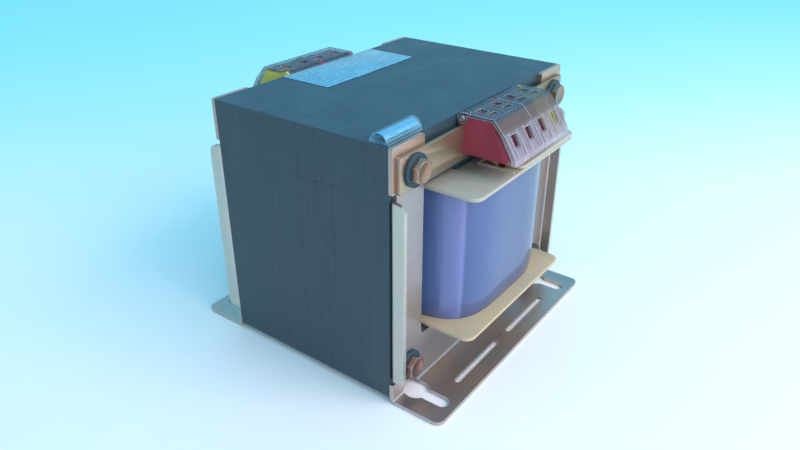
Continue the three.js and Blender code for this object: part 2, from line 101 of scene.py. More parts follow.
BLOCK_X, BLOCK_Y, BLOCK_Z = span("front_terminal_housing")
BLOCK_RIGHT = span("front_end_plate")[0]
BLOCK_FRONT_TOP = -66.6
BLOCK_TOP = 128
BLOCK_EDGE = 0.22
HINGE_Y, HINGE_Z = (middle(pair) for pair in span("front_hinge_rod")[1:])
SCREW_Y = middle(span("front_clamp_screw_1")[1])
POLES = [middle(span(f"front_clamp_screw_{i}")[0]) for i in (1, 2, 3, 4)]
CELL = {"x": 3.9, "y": (-62.1, -55.5), "z": (115.5, 125.4)}
ENTRY = {"x": 2.7, "z": (116.5, 122.1)}
PROBE_WELL = {"x": 2.2, "y": (-65, -63.6), "depth": 2.5}
SCREW_WELL = 2.6
SCREW_SEAT = 125.3
LEAD_HOLE = 1.5
SOCKET = {"radius": 1.3, "depth": 5}
KNUCKLE = 2.4
KNUCKLE_NOTCH = 2.7
BLOCK_SCREW_Z = 113.5
BLOCK_SCREWS = [(x, BLOCK_SCREW_Z) for x in (POLES[1] - POLES[2], 0, POLES[3])]
CAGE_HOLE = {"x": 2.4, "z": (117, 121.7)}

COVER = {
    "sheet": 1.3, "top": 129.6, "front_top": -68.4, "ridge": (-73.6, 123.9), "foot": (-79.6, 113.2),
    "lip": (-80.4, 110.9), "window_x": 2.8, "window_z": (116.7, 122.5),
    "screw_hole": 4.6, "probe_y": (-65.4, -63),
}

# ---- Outlines -----------------------------------------------------------------------------------------


def arc(u, v, radius, start, end, steps):
    """Points along an arc, angles in degrees."""
    angles = [math.radians(start + (end - start) * i / steps) for i in range(steps + 1)]
    return [(u + radius * math.cos(a), v + radius * math.sin(a)) for a in angles]


def circle(u, v, radius, steps=32):
    return arc(u, v, radius, 0, 360, steps)[:-1]


def rounded(u, v, radii, steps=6):
    """A rectangle; radii go round from the low-low corner, and one number serves all four."""
    radii = [radii] * 4 if isinstance(radii, (int, float)) else radii
    corners = [(u[0], v[0], 1, 1), (u[1], v[0], -1, 1), (u[1], v[1], -1, -1), (u[0], v[1], 1, -1)]
    points = []
    for turn, ((cu, cv, du, dv), r) in enumerate(zip(corners, radii)):
        if r:
            points += arc(cu + du * r, cv + dv * r, r, 180 + 90 * turn, 270 + 90 * turn, steps)
        else:
            points.append((cu, cv))
    return points


def slot_outline(u0, u1, v, radius, steps=10):
    return arc(u0, v, radius, 90, 270, steps) + arc(u1, v, radius, -90, 90, steps)


def superellipse(half_u, half_v, exponent, steps):
    def axis(value, half):
        return math.copysign(abs(value) ** (2 / exponent), value) * half

    angles = [math.tau * (i + 0.5) / steps for i in range(steps)]
    return [(axis(math.cos(a), half_u), axis(math.sin(a), half_v)) for a in angles]


def inset(outline, distance):
    """The outline drawn in by a distance, or out where it is negative."""
    area = sum(a[0] * b[1] - b[0] * a[1] for a, b in zip(outline, outline[1:] + outline[:1]))
    side = math.copysign(1, area)
    moved = []
    for i, (u, v) in enumerate(outline):
        before, after = outline[i - 1], outline[(i + 1) % len(outline)]
        first = Vector((u - before[0], v - before[1])).normalized()
        second = Vector((after[0] - u, after[1] - v)).normalized()
        normals = Vector((-first.y - second.y, first.x + second.x)) * side
        share = distance / (1 + first.dot(second))
        moved.append((u + normals.x * share, v + normals.y * share))
    return moved


# ---- Meshes -------------------------------------------------------------------------------------------

PLACE = {"x": lambda u, v, w: (w, u, v), "y": lambda u, v, w: (u, w, v), "z": lambda u, v, w: (u, v, w)}


def closed(bm, sharp=35):
    """Turns a finished bmesh into a mesh with outward faces, smooth but for edges over the sharp angle."""
    bmesh.ops.recalc_face_normals(bm, faces=bm.faces)
    for face in bm.faces:
        face.smooth = True
    for edge in bm.edges:
        edge.smooth = edge.calc_face_angle(0) < math.radians(sharp)
    mesh = bpy.data.meshes.new("shape")
    bm.to_mesh(mesh)
    bm.free()
    return mesh


def strip(bm, one, other):
    for i in range(len(one)):
        bm.faces.new((one[i - 1], one[i], other[i], other[i - 1]))


def stack(axis, sections, hollows=()):
    """A solid through sections, each (w, outline) along an axis, with hollows given the same way."""
    bm = bmesh.new()
    ends = {0: [], -1: []}
    for layers in (sections, *hollows):
        rows = [[bm.verts.new(PLACE[axis](u, v, w)) for u, v in outline] for w, outline in layers]
        for one, other in zip(rows, rows[1:]):
            strip(bm, one, other)
        for end, loops in ends.items():
            loops.append(rows[end])
    for loops in ends.values():
        if len(loops) == 1:
            bm.faces.new(loops[0])
            continue
        edges = [bm.edges.get((row[i - 1], row[i])) for row in loops for i in range(len(row))]
        bmesh.ops.triangle_fill(bm, edges=edges, use_beauty=True, use_dissolve=False)
    return closed(bm)


def rim(outline, low, high, radius, steps=3, hollow=False):
    """Sections of a plate between low and high whose two rims are rounded."""
    sign = -1 if hollow else 1
    curve = [(1 - math.cos(a), 1 - math.sin(a)) for a in (math.pi / 2 * i / steps for i in range(steps + 1))]
    start = [(low + radius * up, inset(outline, sign * radius * back)) for up, back in curve]
    finish = [(high - radius * up, inset(outline, sign * radius * back)) for up, back in reversed(curve)]
    return start + finish


def plate(axis, outline, low, high, radius, holes=()):
    hollows = [rim(hole, low, high, radius, hollow=True) for hole in holes]
    return stack(axis, rim(outline, low, high, radius), hollows)


def prism(axis, outline, low, high):
    return stack(axis, [(low, outline), (high, outline)])


def block(x, y, z):
    return prism("z", rounded(x, y, 0), *z)


def ring(loops):
    """A closed ring through loops of points, the last one joined to the first."""
    bm = bmesh.new()
    rows = [[bm.verts.new(point) for point in loop] for loop in loops]
    for one, other in zip(rows, rows[1:] + rows[:1]):
        strip(bm, one, other)
    return closed(bm)


def capped(loops):
    """A skin through loops of points, with its two ends closed."""
    bm = bmesh.new()
    rows = [[bm.verts.new(p) for p in loop] for loop in loops]
    for one, other in zip(rows, rows[1:]):
        strip(bm, one, other)
    bm.faces.new(rows[0])
    bm.faces.new(rows[-1])
    return closed(bm)


def tube(points, radius, steps=12):
    """A round sleeve along a list of points."""
    path = [Vector(p) for p in points]
    loops = []
    side = Vector((1, 0, 0))
    for i, here in enumerate(path):
        along = (path[min(i + 1, len(path) - 1)] - path[max(i - 1, 0)]).normalized()
        side = (side - along * side.dot(along)).normalized()
        other = along.cross(side)
        loops.append([here + side * (radius * math.cos(a)) + other * (radius * math.sin(a))
                      for a in (math.tau * k / steps for k in range(steps))])
    return capped(loops)


def merged(*meshes):
    bm = bmesh.new()
    for mesh in meshes:
        bm.from_mesh(mesh)
    return closed(bm)


def evaluated(mesh, add_modifiers):
    """The mesh after modifiers, which add_modifiers puts on a passing object."""
    worker = bpy.data.objects.new("worker", mesh)
    bpy.context.scene.collection.objects.link(worker)
    add_modifiers(worker)
    graph = bpy.context.evaluated_depsgraph_get()
    result = bpy.data.meshes.new_from_object(worker.evaluated_get(graph), depsgraph=graph)
    bpy.data.objects.remove(worker)
    return result


def combined(operation, base, *tools):
    """A boolean of the base with each tool, by Blender's exact solver."""
    helpers = []
    for tool in tools:
        helper = bpy.data.objects.new("tool", tool)
        bpy.context.scene.collection.objects.link(helper)
        helpers.append(helper)

    def add(worker):
        for helper in helpers:
            modifier = worker.modifiers.new("combine", "BOOLEAN")
            modifier.operation = operation
            modifier.solver = "EXACT"
            modifier.object = helper

    result = evaluated(base, add)
    for helper in helpers:
        bpy.data.objects.remove(helper)
    return result


def softened(mesh, width):
    """The mesh with every sharp edge rounded, and flat faces kept flat in shading."""
    bm = bmesh.new()
    bm.from_mesh(mesh)
    bmesh.ops.remove_doubles(bm, verts=bm.verts, dist=0.002)
    bmesh.ops.dissolve_limit(bm, angle_limit=math.radians(0.5), verts=bm.verts, edges=bm.edges)
    mesh = closed(bm, sharp=180)

    def add(worker):
        modifier = worker.modifiers.new("bevel", "BEVEL")
        modifier.width = width
        modifier.segments = 2
        modifier.limit_method = "ANGLE"
        modifier.angle_limit = math.radians(32)
        modifier.harden_normals = True
        modifier.use_clamp_overlap = True

    return evaluated(mesh, add)


# ---- Placing ------------------------------------------------------------------------------------------


def place(name, mesh, finish, body="root", replaces=(), turn=None):
    """Puts a millimetre mesh in the scene as a piece that rides on a body."""
    mesh = mesh.copy()
    if turn:
        mesh.transform(turn)
    mesh.transform(Matrix.Scale(MM, 4))
    mesh.name = name
    mesh.materials.append(finish)
    piece = bpy.data.objects.new(name, mesh)
    bpy.context.scene.collection.objects.link(piece)
    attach(piece, body)
    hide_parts(*replaces)


def place_both(name, mesh, finish, node=None, moves=False):
    """Puts a front piece and its turned rear copy, standing for front_NODE and rear_NODE."""
    for side, turn in SIDES.items():
        nodes = [f"{side}_{node}"] if node else []
        body = nodes[0] if moves else "root"
        place(f"{side}_{name}", mesh, finish, body, nodes, turn)


# ---- Finishes -----------------------------------------------------------------------------------------


# Whole lengths that the drifts of colour along Z and across X or Y are given as shares of.
TALL = 130
WIDE = 100


class Finish:
    """A procedural material: one Principled surface and textures laid out in millimetres."""

    def __init__(self, name, roughness, metallic=0.0, **sockets):
        self.material = bpy.data.materials.new(name)
        self.material.use_nodes = True
        self.tree = self.material.node_tree
        self.surface = self.tree.nodes["Principled BSDF"]
        self.set(Roughness=roughness, Metallic=metallic)
        self.set(**{key.replace("_", " "): value for key, value in sockets.items()})
        self.coordinates = self.node("ShaderNodeTexCoord").outputs["Object"]
        self.normal = None

    def set(self, **sockets):
        for name, value in sockets.items():
            self.join(value, self.surface.inputs[name])

    def join(self, value, socket):
        if isinstance(value, bpy.types.NodeSocket):
            self.tree.links.new(value, socket)
        else:
            socket.default_value = value

    def node(self, kind, inputs=None, **settings):
        node = self.tree.nodes.new(kind)
        for name, value in settings.items():
            setattr(node, name, value)
        for key, value in (inputs or {}).items():
            self.join(value, node.inputs[key])
        return node

    def position(self, stretch=(1, 1, 1)):
        scale = tuple(1 / (MM * s) for s in stretch)
        mapping = self.node("ShaderNodeMapping", {"Vector": self.coordinates, "Scale": scale})
        return mapping.outputs[0]

    def noise(self, size, stretch=(1, 1, 1), detail=3.0, roughness=0.5):
        inputs = {"Vector": self.position(stretch), "Scale": 1 / size, "Detail": detail,
                  "Roughness": roughness}
        return self.node("ShaderNodeTexNoise", inputs).outputs[0]

    def cells(self, size):
        inputs = {"Vector": self.position(), "Scale": 1 / size}
        return self.node("ShaderNodeTexVoronoi", inputs, feature="F1").outputs["Distance"]

    def waves(self, pitch, axis):
        inputs = {"Vector": self.position(), "Scale": math.pi / 10 / pitch, "Detail": 1.0}
        texture = self.node("ShaderNodeTexWave", inputs, bands_direction=axis, wave_profile="SIN")
        return texture.outputs["Fac"]

    def ramp(self, value, *stops):
        """A colour ramp; each stop is (place, grey) or (place, (r, g, b))."""
        node = self.node("ShaderNodeValToRGB", {"Fac": value})
        elements = node.color_ramp.elements
        while len(elements) < len(stops):
            elements.new(0.5)
        for element, (at, colour) in zip(elements, stops):
            element.position = at
            rgb = (colour,) * 3 if isinstance(colour, (int, float)) else colour
            element.color = (*rgb, 1)
        return node.outputs[0]

    def mix(self, share, one, other):
        node = self.node("ShaderNodeMix", {0: share}, data_type="RGBA")
        for socket, value in ((node.inputs[6], one), (node.inputs[7], other)):
            rgba = value if isinstance(value, bpy.types.NodeSocket) else (*value, 1)
            self.join(rgba, socket)
        return node.outputs[2]

    def along(self, axis):
        """How far along an axis a point lies, in millimetres."""
        separate = self.node("ShaderNodeSeparateXYZ", {0: self.position()})
        return separate.outputs["XYZ".index(axis)]

    def share(self, axis, whole):
        """How far along an axis a point lies, as a share of a whole length."""
        return self.calc(self.along(axis), whole, "DIVIDE")

    def calc(self, one, other, operation="ADD"):
        return self.node("ShaderNodeMath", {0: one, 1: other}, operation=operation).outputs[0]

    def times(self, one, other):
        return self.calc(one, other, "MULTIPLY")

    def edges(self, width, low=0.02, high=0.2):
        """1 on a convex or concave edge's rounding, 0 on flat ground."""
        bevel = self.node("ShaderNodeBevel", {"Radius": width * MM}, samples=6).outputs[0]
        plain = self.node("ShaderNodeNewGeometry").outputs["Normal"]
        dot = self.node("ShaderNodeVectorMath", {0: bevel, 1: plain}, operation="DOT_PRODUCT")
        inputs = {0: dot.outputs["Value"], 1: 1 - low, 2: 1 - high, 3: 0.0, 4: 1.0}
        return self.node("ShaderNodeMapRange", inputs, clamp=True).outputs[0]

    def bump(self, height, depth, strength):
        """Relief of a depth in millimetres, on top of what came before."""
        inputs = {"Height": height, "Strength": strength, "Distance": depth * MM}
        if self.normal:
            inputs["Normal"] = self.normal
        self.normal = self.node("ShaderNodeBump", inputs).outputs[0]
        self.set(Normal=self.normal)

    def colour(self, value):
        self.set(**{"Base Color": value})


def varnished_core():
    """Thin dark dip varnish over sheet edges: streaks run with the sheets, with dust and fine scratches."""
    f = Finish("varnished_core", 0.42, Specular_IOR_Level=0.35, Coat_Weight=0.2, Coat_Roughness=0.3)
    across = (60, 1, 60)
    sheets = f.noise(0.9, across, detail=2)
    bundles = f.noise(7, across, detail=3)
    clouds = f.noise(26, detail=4)
    base = f.ramp(bundles, (0.3, (0.021, 0.042, 0.055)), (0.7, (0.027, 0.051, 0.066)))
    base = f.mix(f.ramp(sheets, (0.35, 0.0), (0.75, 0.35)), base, (0.036, 0.062, 0.076))
    base = f.mix(f.ramp(clouds, (0.5, 0.0), (0.72, 0.4)), base, (0.036, 0.064, 0.077))
    # Painted sky reflection: the core's top face is mixed to teal-blue.
    top = f.ramp(f.share("Z", TALL), (0.984, 0.0), (0.986, 0.75))
    base = f.mix(top, base, (0.004, 0.060, 0.098))
    specks = f.ramp(f.cells(5.5), (0.035, 0.8), (0.055, 0.0))
    dust = f.times(specks, f.ramp(f.noise(17), (0.58, 0.0), (0.64, 0.8)))
    scratches = f.ramp(f.noise(0.8, (1, 1, 26), detail=1), (0.78, 0.0), (0.83, 0.5))
    scratches = f.times(scratches, f.ramp(f.noise(30), (0.6, 0.0), (0.7, 1.0)))
    marks = f.calc(dust, scratches, "MAXIMUM")
    base = f.mix(f.times(f.edges(0.5, 0.05, 0.4), 0.22), base, (0.16, 0.24, 0.27))
    f.colour(f.mix(marks, base, (0.22, 0.32, 0.35)))
    f.set(Roughness=f.ramp(clouds, (0.3, 0.34), (0.7, 0.52)))
    f.bump(sheets, 0.05, 0.5)
    f.bump(f.noise(1.6, detail=4), 0.03, 0.4)
    return f.material


def plated(name, base, tints, roughness, rolled):
    """Passivated metal: iridescent clouds, rolling lines and a painted highlight along the edges; base is a
    colour or draws one.
    """
    f = Finish(name, roughness, 0.88)
    base = base(f) if callable(base) else base
    clouds = f.noise(34, (1, 1, 1.6), detail=3, roughness=0.6)
    colour = f.mix(0.4, base, f.ramp(clouds, *zip((0.30, 0.42, 0.52, 0.62, 0.74), tints)))
    lines = f.noise(1.1, rolled, detail=4, roughness=0.7)
    colour = f.mix(f.ramp(lines, (0.3, 0.0), (0.8, 0.3)), colour, (0.30, 0.27, 0.25))
    # Painted highlight: every edge is mixed towards near-white.
    colour = f.mix(f.times(f.edges(0.35), 0.7), colour, (0.86, 0.85, 0.84))
    f.colour(colour)
    stain = f.noise(9, detail=5)
    f.set(Roughness=f.ramp(stain, (0.3, roughness), (0.75, roughness + 0.08)))
    f.bump(lines, 0.012, 0.5)
    return f.material


def sheet_metal(name, top):
    """The plating drifts from brown by the foot through lavender to gold at the top, which on the bracket is
    a painted reflection; the hems took mint.
    """
    def zones(f):
        height = f.share("Z", TALL)
        # The last stop, top, colours everything above 0.86 of the height; on the bracket this gold is a
        # painted reflection.
        base = f.ramp(height, (0.03, (0.53, 0.48, 0.46)), (0.12, (0.46, 0.41, 0.42)),
                      (0.5, (0.38, 0.34, 0.39)), (0.80, (0.39, 0.35, 0.38)), (0.86, top))
        aside = f.calc(f.share("X", WIDE), 0, "ABSOLUTE")
        hem = f.ramp(aside, (0.722, 0.0), (0.73, 1.0))
        above_foot = f.ramp(height, (0.095, 0.0), (0.11, 1.0))
        below_top = f.ramp(height, (0.80, 1.0), (0.81, 0.0))
        tip = f.ramp(f.share("X", WIDE), (0.60, 0.0), (0.72, 0.6))
        tip = f.times(tip, f.ramp(height, (0.03, 1.0), (0.05, 0.0)))
        base = f.mix(tip, base, (0.20, 0.34, 0.35))
        hem = f.times(f.times(hem, above_foot), below_top)
        return f.mix(hem, base, (0.68, 0.67, 0.54))

    tints = ((0.36, 0.40, 0.50), (0.44, 0.40, 0.42), (0.58, 0.40, 0.34), (0.52, 0.46, 0.32),
             (0.38, 0.50, 0.44))
    return plated(name, zones, tints, 0.28, (40, 1, 1))


def fastener_metal():
    tints = ((0.22, 0.20, 0.20), (0.40, 0.20, 0.17), (0.54, 0.32, 0.18), (0.34, 0.28, 0.18),
             (0.14, 0.24, 0.20))
    return plated("zinc_fastener", (0.30, 0.16, 0.12), tints, 0.18, (1, 6, 1))


def brass_metal():
    tints = ((0.70, 0.52, 0.26), (0.78, 0.60, 0.30), (0.82, 0.66, 0.36), (0.74, 0.58, 0.30),
             (0.62, 0.46, 0.24))
    return plated("clamp_brass", (0.78, 0.60, 0.30), tints, 0.3, (1, 8, 1))


def wire_metal():
    tints = ((0.62, 0.64, 0.66), (0.66, 0.66, 0.66), (0.70, 0.68, 0.64), (0.66, 0.66, 0.64),
             (0.60, 0.60, 0.60))
    return plated("bright_wire", (0.68, 0.68, 0.67), tints, 0.28, (12, 1, 1))


def fibre():
    """Pressed dark fibre: fine mottling, and lighter rubbed rims."""
    f = Finish("fibre_washer", 0.5)
    mottle = f.noise(0.5, detail=5, roughness=0.7)
    base = f.ramp(mottle, (0.3, (0.010, 0.036, 0.050)), (0.75, (0.026, 0.066, 0.088)))
    f.colour(f.mix(f.times(f.edges(0.4), 0.45), base, (0.16, 0.22, 0.22)))
    f.bump(f.noise(0.35, detail=4), 0.04, 0.5)
    return f.material


def moulded(name, dark, light, roughness, worn, wear=0.2):
    """Moulded plastic: slow colour drift, orange-peel grain and slightly paler edges."""
    f = Finish(name, roughness, Subsurface_Weight=0.05, Subsurface_Scale=2 * MM)
    drift = f.noise(11, detail=3)
    base = f.ramp(drift, (0.3, dark), (0.72, light))
    f.colour(f.mix(f.times(f.edges(0.3), wear), base, worn))
    f.set(Roughness=f.ramp(f.noise(3.5, detail=4), (0.3, roughness - 0.06), (0.7, roughness + 0.1)))
    f.bump(f.noise(0.7, detail=2), 0.03, 0.35)
    return f.material


def bobbin_plastic():
    """Cream moulding, browned by varnish in patches; warmer towards the foot where the lower flange is
    painted as lit, greyer up top as painted shade under the block, and paler edges as a painted highlight.
    """
    f = Finish("bobbin_plastic", 0.42, Subsurface_Weight=0.12, Subsurface_Scale=2 * MM)
    height = f.share("Z", TALL)
    # Painted light by height: the lower flange warm as if lit, the upper flange greyer as painted shade under
    # the block.
    painted_light_by_height = f.ramp(height, (0.3, (0.58, 0.43, 0.26)), (0.7, (0.43, 0.42, 0.36)))
    base = f.mix(f.ramp(f.noise(22, detail=4), (0.3, 0.0), (0.7, 0.5)), painted_light_by_height, (0.42, 0.37, 0.27))
    stain = f.ramp(f.noise(15, (1, 1.6, 1), detail=5, roughness=0.65), (0.54, 0.0), (0.70, 0.6))
    base = f.mix(stain, base, (0.42, 0.33, 0.18))
    specks = f.ramp(f.cells(4.5), (0.04, 0.8), (0.07, 0.0))
    specks = f.times(specks, f.ramp(f.noise(12), (0.55, 0.0), (0.62, 1.0)))
    base = f.mix(specks, base, (0.26, 0.20, 0.12))
    # Painted highlight: the edges are mixed towards pale cream.
    f.colour(f.mix(f.times(f.edges(0.5), 0.55), base, (0.80, 0.76, 0.62)))
    f.bump(f.noise(0.9, detail=3), 0.03, 0.35)
    return f.material


def blue_tape():
    """Glossy polyester tape: fine lines along the winding and slack patches, with painted light: a pale
    painted highlight band on the front-left corner over the tape's lap, lighter beside it, darker towards +X
    as painted shade, and greyer near the bottom as a painted reflection of the flange.
    """
    f = Finish("blue_tape", 0.22, Coat_Weight=0.5, Coat_Roughness=0.12)
    lines = f.noise(1.3, (1, 1, 50), detail=3, roughness=0.6)
    patches = f.noise(18, (1, 1, 2.2), detail=3)
    base = f.ramp(patches, (0.3, (0.052, 0.092, 0.23)), (0.55, (0.058, 0.098, 0.25)),
                  (0.75, (0.070, 0.096, 0.25)))
    base = f.mix(f.ramp(lines, (0.35, 0.0), (0.8, 0.22)), base, (0.11, 0.14, 0.32))
    across = f.calc(f.share("X", WIDE), 0.5)
    # Painted highlight: a pale band on the front-left corner, brightest near its right edge, over the tape's
    # lap.
    painted_highlight_band = f.ramp(across, (0.080, 0.0), (0.086, 0.35), (0.120, 0.6), (0.139, 1.0), (0.150, 0.0))
    front = f.ramp(f.share("Y", -WIDE), (0.30, 0.0), (0.40, 1.0))
    # Painted light: lighter at the far left next to the highlight band, and darker towards +X as painted
    # shade.
    base = f.mix(f.ramp(across, (0.05, 0.6), (0.13, 0.0)), base, (0.14, 0.19, 0.38))
    base = f.mix(f.ramp(across, (0.30, 0.0), (0.95, 0.8)), base, (0.040, 0.056, 0.13))
    # Painted reflection of the flange: the lower part of the wrap is greyer and darker.
    low = f.ramp(f.share("Z", WIDE), (0.30, 0.6), (0.42, 0.0))
    base = f.mix(low, base, (0.078, 0.084, 0.15))
    f.colour(f.mix(f.times(painted_highlight_band, front), base, (0.17, 0.19, 0.42)))
    f.set(Roughness=f.ramp(patches, (0.3, 0.16), (0.7, 0.25)))
    f.bump(lines, 0.05, 0.3)
    return f.material


def enamelled_wire():
    """Rows of round wire lying round the leg."""
    f = Finish("enamelled_wire", 0.28, 0.6, Coat_Weight=0.5)
    base = f.ramp(f.noise(0.9, (30, 30, 1), detail=2), (0.3, (0.42, 0.17, 0.07)), (0.7, (0.62, 0.29, 0.13)))
    f.colour(base)
    f.bump(f.waves(1.1, "Z"), 0.5, 0.9)
    return f.material


def insulation_film():
    f = Finish("insulation_film", 0.4, Subsurface_Weight=0.1, Subsurface_Scale=MM)
    f.colour(f.ramp(f.noise(6, (1, 1, 4), detail=4), (0.3, (0.60, 0.48, 0.26)), (0.7, (0.74, 0.64, 0.42))))
    f.bump(f.noise(2, (1, 1, 8), detail=3), 0.08, 0.4)
    return f.material


def clear_plastic(name, tint, opacity, scratch_and_edge_highlight_tint, edge_highlight_opacity):
    """Clear moulding, hazed by handling: dust and hairline scratches, with edges painted pale and more opaque
    as a painted highlight.
    """
    f = Finish(name, 0.12, Specular_IOR_Level=0.7, Coat_Weight=0.15, Coat_Roughness=0.1)
    edge = f.edges(0.5, 0.02, 0.22)
    haze = f.noise(7, detail=4)
    scratch = f.ramp(f.noise(0.5, (14, 1, 1), detail=2), (0.68, 0.0), (0.8, 0.25))
    # Colour by height; on the cover these colours are painted light.
    ground = f.ramp(f.calc(f.calc(f.along("Z"), 110, "SUBTRACT"), 20, "DIVIDE"), *tint)
    # Painted highlight: the edges take the pale tint, which the scratches also use.
    base = f.mix(edge, f.mix(scratch, ground, scratch_and_edge_highlight_tint), scratch_and_edge_highlight_tint)
    f.colour(base)
    clouded = f.ramp(haze, (0.3, opacity - 0.08), (0.75, opacity + 0.12))
    lines = f.times(scratch, 0.5)
    body = f.node("ShaderNodeMath", {0: clouded, 1: lines}, operation="ADD", use_clamp=True).outputs[0]
    # The edges are made more opaque as part of the painted highlight.
    f.set(Alpha=f.calc(body, f.times(edge, edge_highlight_opacity), "MAXIMUM"))
    f.set(Roughness=f.ramp(haze, (0.3, 0.08), (0.8, 0.24)))
    f.bump(f.noise(2.5, detail=2), 0.04, 0.3)
    return f.material


def printed(name, paper, ink, row, gloss, metallic=0.0):
    """Printed film: plain ruled rows of dashes that spell nothing."""
    f = Finish(name, gloss, metallic, Coat_Weight=0.5, Coat_Roughness=0.15)
    rows = f.calc(f.calc(f.along("Y"), row, "PINGPONG"), row * 0.62, "GREATER_THAN")
    dashes = f.ramp(f.noise(1.6, (1.6, 0.35, 1), detail=2), (0.43, 0.0), (0.46, 1.0))
    field = f.ramp(f.noise(15, (1.4, 1, 1), detail=1), (0.36, 0.0), (0.39, 1.0))
    marks = f.times(f.times(rows, dashes), field)
    paler = tuple(min(1, c * 1.25) for c in paper)
    base = f.mix(f.ramp(f.noise(14, detail=3), (0.3, 0.0), (0.8, 0.5)), paper, paler)
    f.colour(f.mix(f.times(marks, 0.75), base, ink))
    f.bump(f.noise(3, detail=3), 0.02, 0.3)
    return f.material


def sleeve_braid():
    """Varnished glass sleeving: a fine crossing braid."""
    f = Finish("lead_sleeve", 0.45)
    braid = f.times(f.waves(0.5, "DIAGONAL"), f.waves(0.45, "Z"))
    f.colour(f.ramp(braid, (0.1, (0.30, 0.16, 0.07)), (0.6, (0.55, 0.38, 0.20))))
    f.bump(braid, 0.12, 0.6)
    return f.material


CORE = varnished_core()
# The bracket's gold top colour is a painted reflection.
SHEET_METAL = sheet_metal("chromated_sheet", (0.66, 0.38, 0.23))
RAIL_METAL = sheet_metal("chromated_rail", (0.40, 0.30, 0.14))
FASTENER = fastener_metal()
BRASS = brass_metal()
WIRE = wire_metal()
FIBRE = fibre()
BOBBIN = bobbin_plastic()
TAPE_FILM = blue_tape()
COPPER = enamelled_wire()
INSULATION = insulation_film()
SLEEVE = sleeve_braid()
RED = moulded("block_red", (0.24, 0.021, 0.040), (0.33, 0.034, 0.060), 0.34, (0.50, 0.14, 0.18), wear=0.35)
EARTH = moulded("block_earth", (0.50, 0.42, 0.03), (0.72, 0.52, 0.05), 0.36, (0.7, 0.7, 0.3))
# The cover's colour by height is painted light: a pale lip as a painted highlight, darker slopes as painted
# shade, and a teal top as a painted sky reflection.
COVER_TINT_AND_PAINTED_LIGHT = ((0.05, (0.52, 0.40, 0.50)), (0.20, (0.40, 0.33, 0.38)), (0.64, (0.27, 0.24, 0.25)),
              (0.72, (0.18, 0.12, 0.10)), (0.90, (0.15, 0.115, 0.10)), (0.965, (0.008, 0.065, 0.115)))
CLEAR = clear_plastic("clear_cover", COVER_TINT_AND_PAINTED_LIGHT, 0.52, (0.86, 0.80, 0.88), 0.9)
MARKER_TINT = ((0.0, (0.18, 0.48, 0.62)), (1.0, (0.22, 0.53, 0.67)))
MARKER_CLEAR = clear_plastic("clear_marker", MARKER_TINT, 0.20, (0.80, 0.90, 0.97), 0.7)
LABEL = printed("label_film", (0.16, 0.45, 0.60), (0.03, 0.14, 0.24), 1.5, 0.3, 0.35)
CARD = printed("marker_card", (0.05, 0.34, 0.58), (0.24, 0.56, 0.78), 1.1, 0.35)


# ---- Core ---------------------------------------------------------------------------------------------

SHEETS = 200


def set_back(i):
    """How far sheet i stands in from the core's outline; the E and the I of one sheet agree."""
    drift = 0.05 * noise.noise(Vector((i * 0.13, 2.0, 0.0))) + 0.05
    stray = 0.07 if RANDOM.random() < 0.04 else 0
    return max(0.0, drift + RANDOM.uniform(-0.02, 0.03) + stray)


SET_BACKS = [set_back(i) for i in range(SHEETS)]


def laminated(outline, holes):
    """A stack of stamped sheets: each stands a hair in or out of its neighbours, with a nick between."""
    pitch = (CORE_Y[1] - CORE_Y[0]) / SHEETS
    lip = pitch * 0.16
    nick = 0.07
    sections = []
    for i, set_in in enumerate(SET_BACKS):
        start = CORE_Y[0] + pitch * i
        ground, crown = inset(outline, set_in + nick), inset(outline, set_in)
        if i == 0:
            ground = inset(outline, set_in + 0.2)
        sections += [(start, ground), (start + lip, crown), (start + pitch - lip, crown)]
    sections.append((CORE_Y[1], inset(outline, 0.25)))
    hollows = [[(w, circle(x, z, CORE_HOLE, 20)) for w in CORE_Y] for x, z in holes]
    return stack("y", sections, hollows)


def e_outline():
    base, tips = E_Z
    side = CORE_X[1]
    yoke = base + LEG
    right = [(side, base), (side, tips), (side - LEG, tips), (side - LEG, yoke), (LEG, yoke), (LEG, tips)]
    return right + [(-x, z) for x, z in reversed(right)]


def make_core():
    e_stack = laminated(e_outline(), [(x, BOLT_Z[0]) for x in (-BOLT_X, BOLT_X)])
    place("core_e_laminations", e_stack, CORE, replaces=["core_e_stack"])
    bar = rounded(CORE_X, (E_Z[1], CORE_TOP), 0)
    i_stack = laminated(bar, [(x, BOLT_Z[1]) for x in (-BOLT_X, BOLT_X)])
    place("core_i_laminations", i_stack, CORE, replaces=["core_i_stack"])


# ---- Coil ---------------------------------------------------------------------------------------------


def leg_bore():
    return rounded((-LEG - 0.3, LEG + 0.3), (-CORE_Y[1] - 0.4, CORE_Y[1] + 0.4), 0.4, 2)


def make_bobbin():
    outline = rounded(FLANGE_X, FLANGE_Y, FLANGE_CORNER, 10)
    window = rounded(*LEAD_WINDOW, 1, 4)
    rear_window = [(-x, -y) for x, y in window]
    low, high = BOBBIN_Z
    lower = plate("z", outline, low, low + FLANGE_SHEET, FLANGE_ROUNDING, [leg_bore()])
    upper = plate("z", outline, high - FLANGE_SHEET, high, FLANGE_ROUNDING, [leg_bore(), window, rear_window])
    wall = inset(leg_bore(), -TUBE_WALL)
    ends = (low + FLANGE_SHEET / 2, high - FLANGE_SHEET / 2)
    body = stack("z", [(z, wall) for z in ends], [[(z, leg_bore()) for z in ends]])
    # A shallow rib stiffens the upper flange beside each lead window.
    x = LEAD_WINDOW[0][0] - 1.6
    rib = plate("z", rounded((x - 0.6, x + 0.6), (-74, -54.5), 0.5, 3), high - 0.2, high + 0.9, 0.3)
    rear_rib = rib.copy()
    rear_rib.transform(SIDES["rear"])
    place("bobbin_moulding", merged(lower, upper, body, rib, rear_rib), BOBBIN,
          replaces=["bobbin"])


